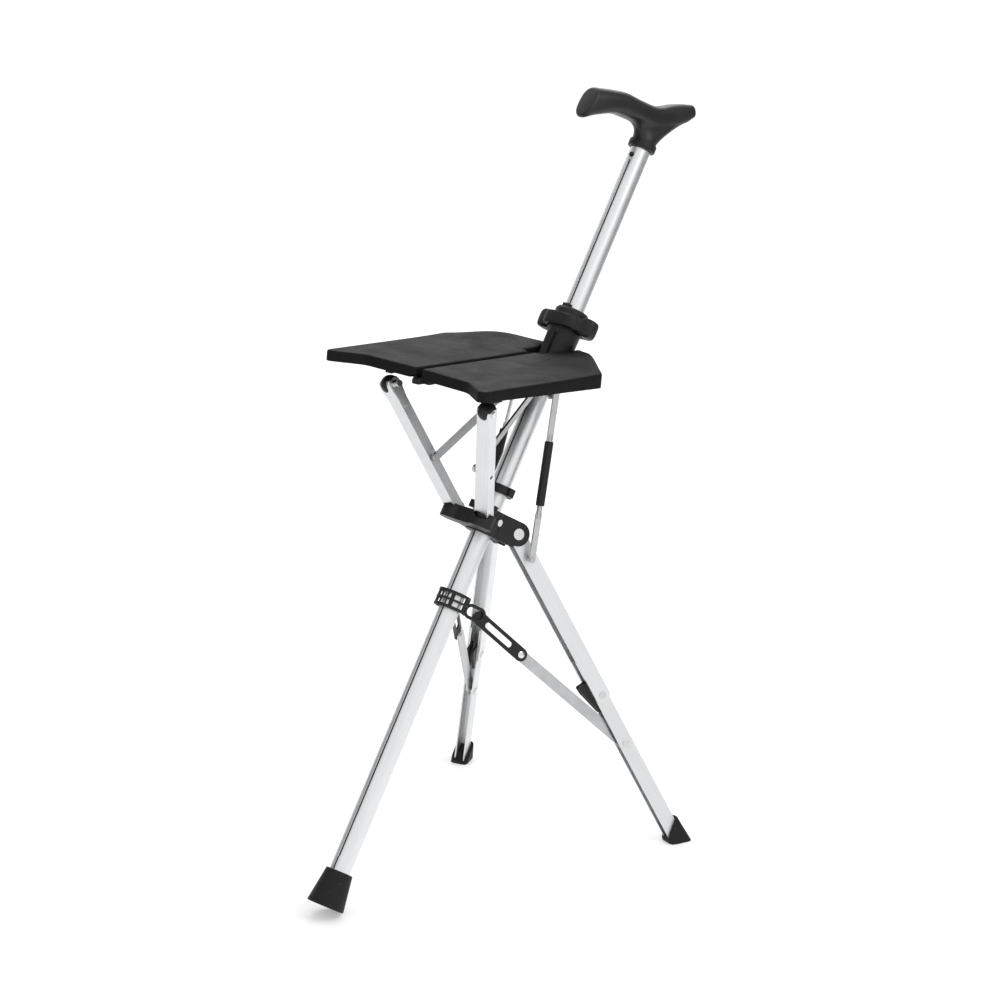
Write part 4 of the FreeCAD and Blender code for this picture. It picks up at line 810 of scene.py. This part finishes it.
def leg_place(x, y, down, side):
    """Leg point: x away from the stick, y across, down the leg from its pivot, in the drawing frame."""
    r = LEG_PIVOT_R + x * math.cos(LEG_OPEN) + down * math.sin(LEG_OPEN)
    z = LEG_PIVOT_Z + x * math.sin(LEG_OPEN) - down * math.cos(LEG_OPEN)
    return leg_point(r, y, z, side)


def to_floor(x, y):
    """How far down the leg a line beside it meets the floor: the height is linear in that distance."""
    height = [place(leg_place(x, y, d, 1))[..., 2] for d in (0.0, 100.0)]
    return 100.0 * height[0] / (height[0] - height[1])


def boot_rows(side):
    """Columns run straight from the sole's outline on the floor to the cuff's. The first and
    last loops are half a millimetre smaller, which breaks the sharp edges."""
    c, s = wave(turn(72), BOOT_SQUARENESS)
    low = (0.5 + SOLE[0] * c, SOLE[1] * s)
    high = (-0.1 + CUFF[0] * c, CUFF[1] * s)
    floor = to_floor(*low) - 0.05
    top = LEG_LENGTH - CUFF_RISE - CUFF_SLANT * c
    rows = []
    for f in BOOT_LEVELS:
        shrink = 0.5 if f in (0.0, 1.0) else 0.0
        x = low[0] + (high[0] - low[0]) * f - shrink * c
        y = low[1] + (high[1] - low[1]) * f - shrink * s
        rows.append(leg_place(x, y, floor + (top - floor) * f, side))
    return np.stack(rows)


for side, label in SIDES:
    piece("boot_" + label, boot_rows(side), rubber, "leg_" + label,
          hides=("foot_cap_" + label,))

# %% [markdown]
# The struts' upper ends. The channel is pressed wider there, so that it wraps the black knuckle, and its
# end is rounded about the pin. The shell is a column of soft rectangles: they widen along a cubic and then
# close along a circle, and the knuckle shows above the last one.


# %% Strut ends
# The near strut's lower and upper pins, and its own three directions
STRUT_FOOT = np.array([27.0, 18.0, 400.0])
STRUT_TOP = np.array([132.1, 60.0, 476.4])
strut_up = (STRUT_TOP - STRUT_FOOT) / np.linalg.norm(STRUT_TOP - STRUT_FOOT)
strut_across = np.array([0.0, 1.0, 0.0]) - strut_up * strut_up[1]
strut_across /= np.linalg.norm(strut_across)
strut_web = np.cross(strut_across, strut_up)
SHELL_LENGTH = 26.0
SHELL_START = (5.2, 7.3)    # half width and half depth where the shell leaves the channel
SHELL_HALF_DEPTH = 7.6
SHELL_SQUARENESS = 7.0
# Radius about the pin and height above it. The near block under the seat is longer than the far one and
# comes close to its shell when the seat is folded, so the near shell is the smaller one.
SHELL_SIZES = {"near": (7.0, 4.0), "far": (7.8, 5.5)}


def shell_rows(side, radius, top):
    """Half width: a cubic from the channel's to the shell's radius, then the circle about the pin."""
    t = np.linspace(0, 1, 16)
    rise = np.linspace(0.0, top, 10)[1:]
    up = np.concatenate([-SHELL_LENGTH + SHELL_LENGTH * t, rise, [top + 0.4]])
    arc = np.sqrt(radius ** 2 - rise ** 2)
    wide = np.concatenate([hermite(SHELL_START[0], radius, 0.0, 0.0, t), arc, [arc[-1] - 0.8]])
    deep = np.full_like(up, SHELL_HALF_DEPTH)
    deep[0] = SHELL_START[1]
    deep[-1] = SHELL_HALF_DEPTH - 0.7
    c, s = wave(turn(64), SHELL_SQUARENESS)
    rows = (STRUT_TOP + up[:, None, None] * strut_up + (wide[:, None] * c)[..., None] * strut_web
            + (deep[:, None] * s)[..., None] * strut_across)
    return rows * np.array([1, side, 1])


for side, label in SIDES:
    channel_finish = bpy.data.materials["Satin anodised aluminium, strut_" + label]
    piece("strut_shell_" + label, shell_rows(side, *SHELL_SIZES[label]), channel_finish, "strut_" + label)

# %% [markdown]
# The studio. The object stands on a pale floor under a white sky, as in a catalogue picture. The sky is
# at full white only for rays that look at it or are mirrored, through the Light Path node, and its light
# is a little weaker. Two soft lamps, one at the near side and one behind, give the black plastic its depth.


# %% Floor, sky and lamps
FLOOR_HALF = 60           # metres, wide enough that its edge is never in view
FLOOR_GLOW = 0.30
BOARD_GLOW = 0.34
BOARD_HIGH = 1.8
BOARD_NEAR = (0.5, 1.1)      # a board's ends, towards the camera and sideways, in metres
BOARD_FAR = (-0.9, 0.9)
SKY_LIGHT = 0.85             # the sky's strength as light, and where it is looked at
SKY_SEEN = 1.0
VIEW_FROM = (1.883, 1.902)   # where the camera stands, seen from above, in metres from the stick's foot


def flat_sheet(name, corners, finish, colour, glow, gloss=0.5):
    """Four corners as one matt face with a faint glow of its own."""
    mesh = bpy.data.meshes.new(name)
    mesh.from_pydata(corners, [], [(0, 1, 2, 3)])
    material, _, shader = blank(finish)
    shader.inputs["Base Color"].default_value = linear(colour)
    shader.inputs["Roughness"].default_value = 1.0
    shader.inputs["Specular IOR Level"].default_value = gloss
    shader.inputs["Emission Color"].default_value = (1, 1, 1, 1)
    shader.inputs["Emission Strength"].default_value = glow
    mesh.materials.append(material)
    sheet = show(name, mesh)
    return sheet


def lamp(name, at, aim, size, watts):
    """A square area lamp at one point, facing another."""
    light = bpy.data.lights.new(name, "AREA")
    light.size = size
    light.energy = watts
    item = show(name, light)
    item.location = at
    item.rotation_euler = (Vector(aim) - Vector(at)).to_track_quat("-Z", "Y").to_euler()


floor_corners = [(x * FLOOR_HALF, y * FLOOR_HALF, 0) for x, y in ((-1, -1), (1, -1), (1, 1), (-1, 1))]
flat_sheet("floor", floor_corners, "Matt white paper floor", "#ECECEC", FLOOR_GLOW, gloss=0.0)

world = bpy.data.worlds.new("white studio")
bpy.context.scene.world = world
world.use_nodes = True
sky = world.node_tree
sky.nodes.clear()
rays = add(sky, "ShaderNodeLightPath").outputs
mirrored = add(sky, "ShaderNodeMath", {"operation": "MAXIMUM"}, i0=rays["Is Glossy Ray"],
               i1=rays["Is Transmission Ray"]).outputs["Value"]
seen = add(sky, "ShaderNodeMath", {"operation": "MAXIMUM"}, i0=rays["Is Camera Ray"],
           i1=mirrored).outputs["Value"]
strength = add(sky, "ShaderNodeMapRange", Value=seen, To_Min=SKY_LIGHT, To_Max=SKY_SEEN).outputs["Result"]
backdrop = add(sky, "ShaderNodeBackground", Color=(1, 1, 1, 1), Strength=strength)
sky_out = add(sky, "ShaderNodeOutputWorld")
sky.links.new(backdrop.outputs["Background"], sky_out.inputs["Surface"])

# Only reflections see the two grey boards beside the view. They put the darker edges on bright round metal.
toward = Vector((*VIEW_FROM, 0)).normalized()
right_way = Vector((-toward.y, toward.x, 0))
rise = Vector((0, 0, BOARD_HIGH))
for name, sign in (("board left", -1), ("board right", 1)):
    near_end = toward * BOARD_NEAR[0] + right_way * sign * BOARD_NEAR[1]
    far_end = toward * BOARD_FAR[0] + right_way * sign * BOARD_FAR[1]
    board_corners = [near_end, far_end, far_end + rise, near_end + rise]
    board = flat_sheet(name, board_corners, "Grey felt board", "#0A0A0A", BOARD_GLOW)
    board.visible_camera = False
    board.visible_diffuse = False
    board.visible_shadow = False

lamp("key", (-0.6, 1.9, 2.3), (0, 0, 0.35), 1.4, 18)
lamp("back", (-1.8, -1.4, 1.9), (0, 0, 0.4), 1.2, 12)
print("studio: floor, sky, 2 boards, 2 lamps")

# %% [markdown]
# The camera. It stands where the photograph was taken from: about 20 degrees above the floor, in front
# of the seat and to its near side, with a long lens, aimed just under the middle of the stick.


# %% Camera at the photograph's angle
VIEW_HEIGHT = 1.372
AIM_BACK = 0.25     # the aim lies this far behind the stick's foot
AIM_HEIGHT = 0.344
camera_data = bpy.data.cameras.new("catalogue view")
camera_data.lens = 116.0
camera_data.sensor_width = 36.0
camera = show("catalogue view", camera_data)
eye = Vector((VIEW_FROM[0] + FLOOR_SHIFT, VIEW_FROM[1], VIEW_HEIGHT))
aim = Vector((FLOOR_SHIFT - AIM_BACK, 0.0, AIM_HEIGHT))
camera.location = eye
camera.rotation_euler = (aim - eye).to_track_quat("-Z", "Y").to_euler()
bpy.context.scene.camera = camera
bpy.context.scene.view_settings.view_transform = "Standard"
print("camera", [round(c, 3) for c in eye])
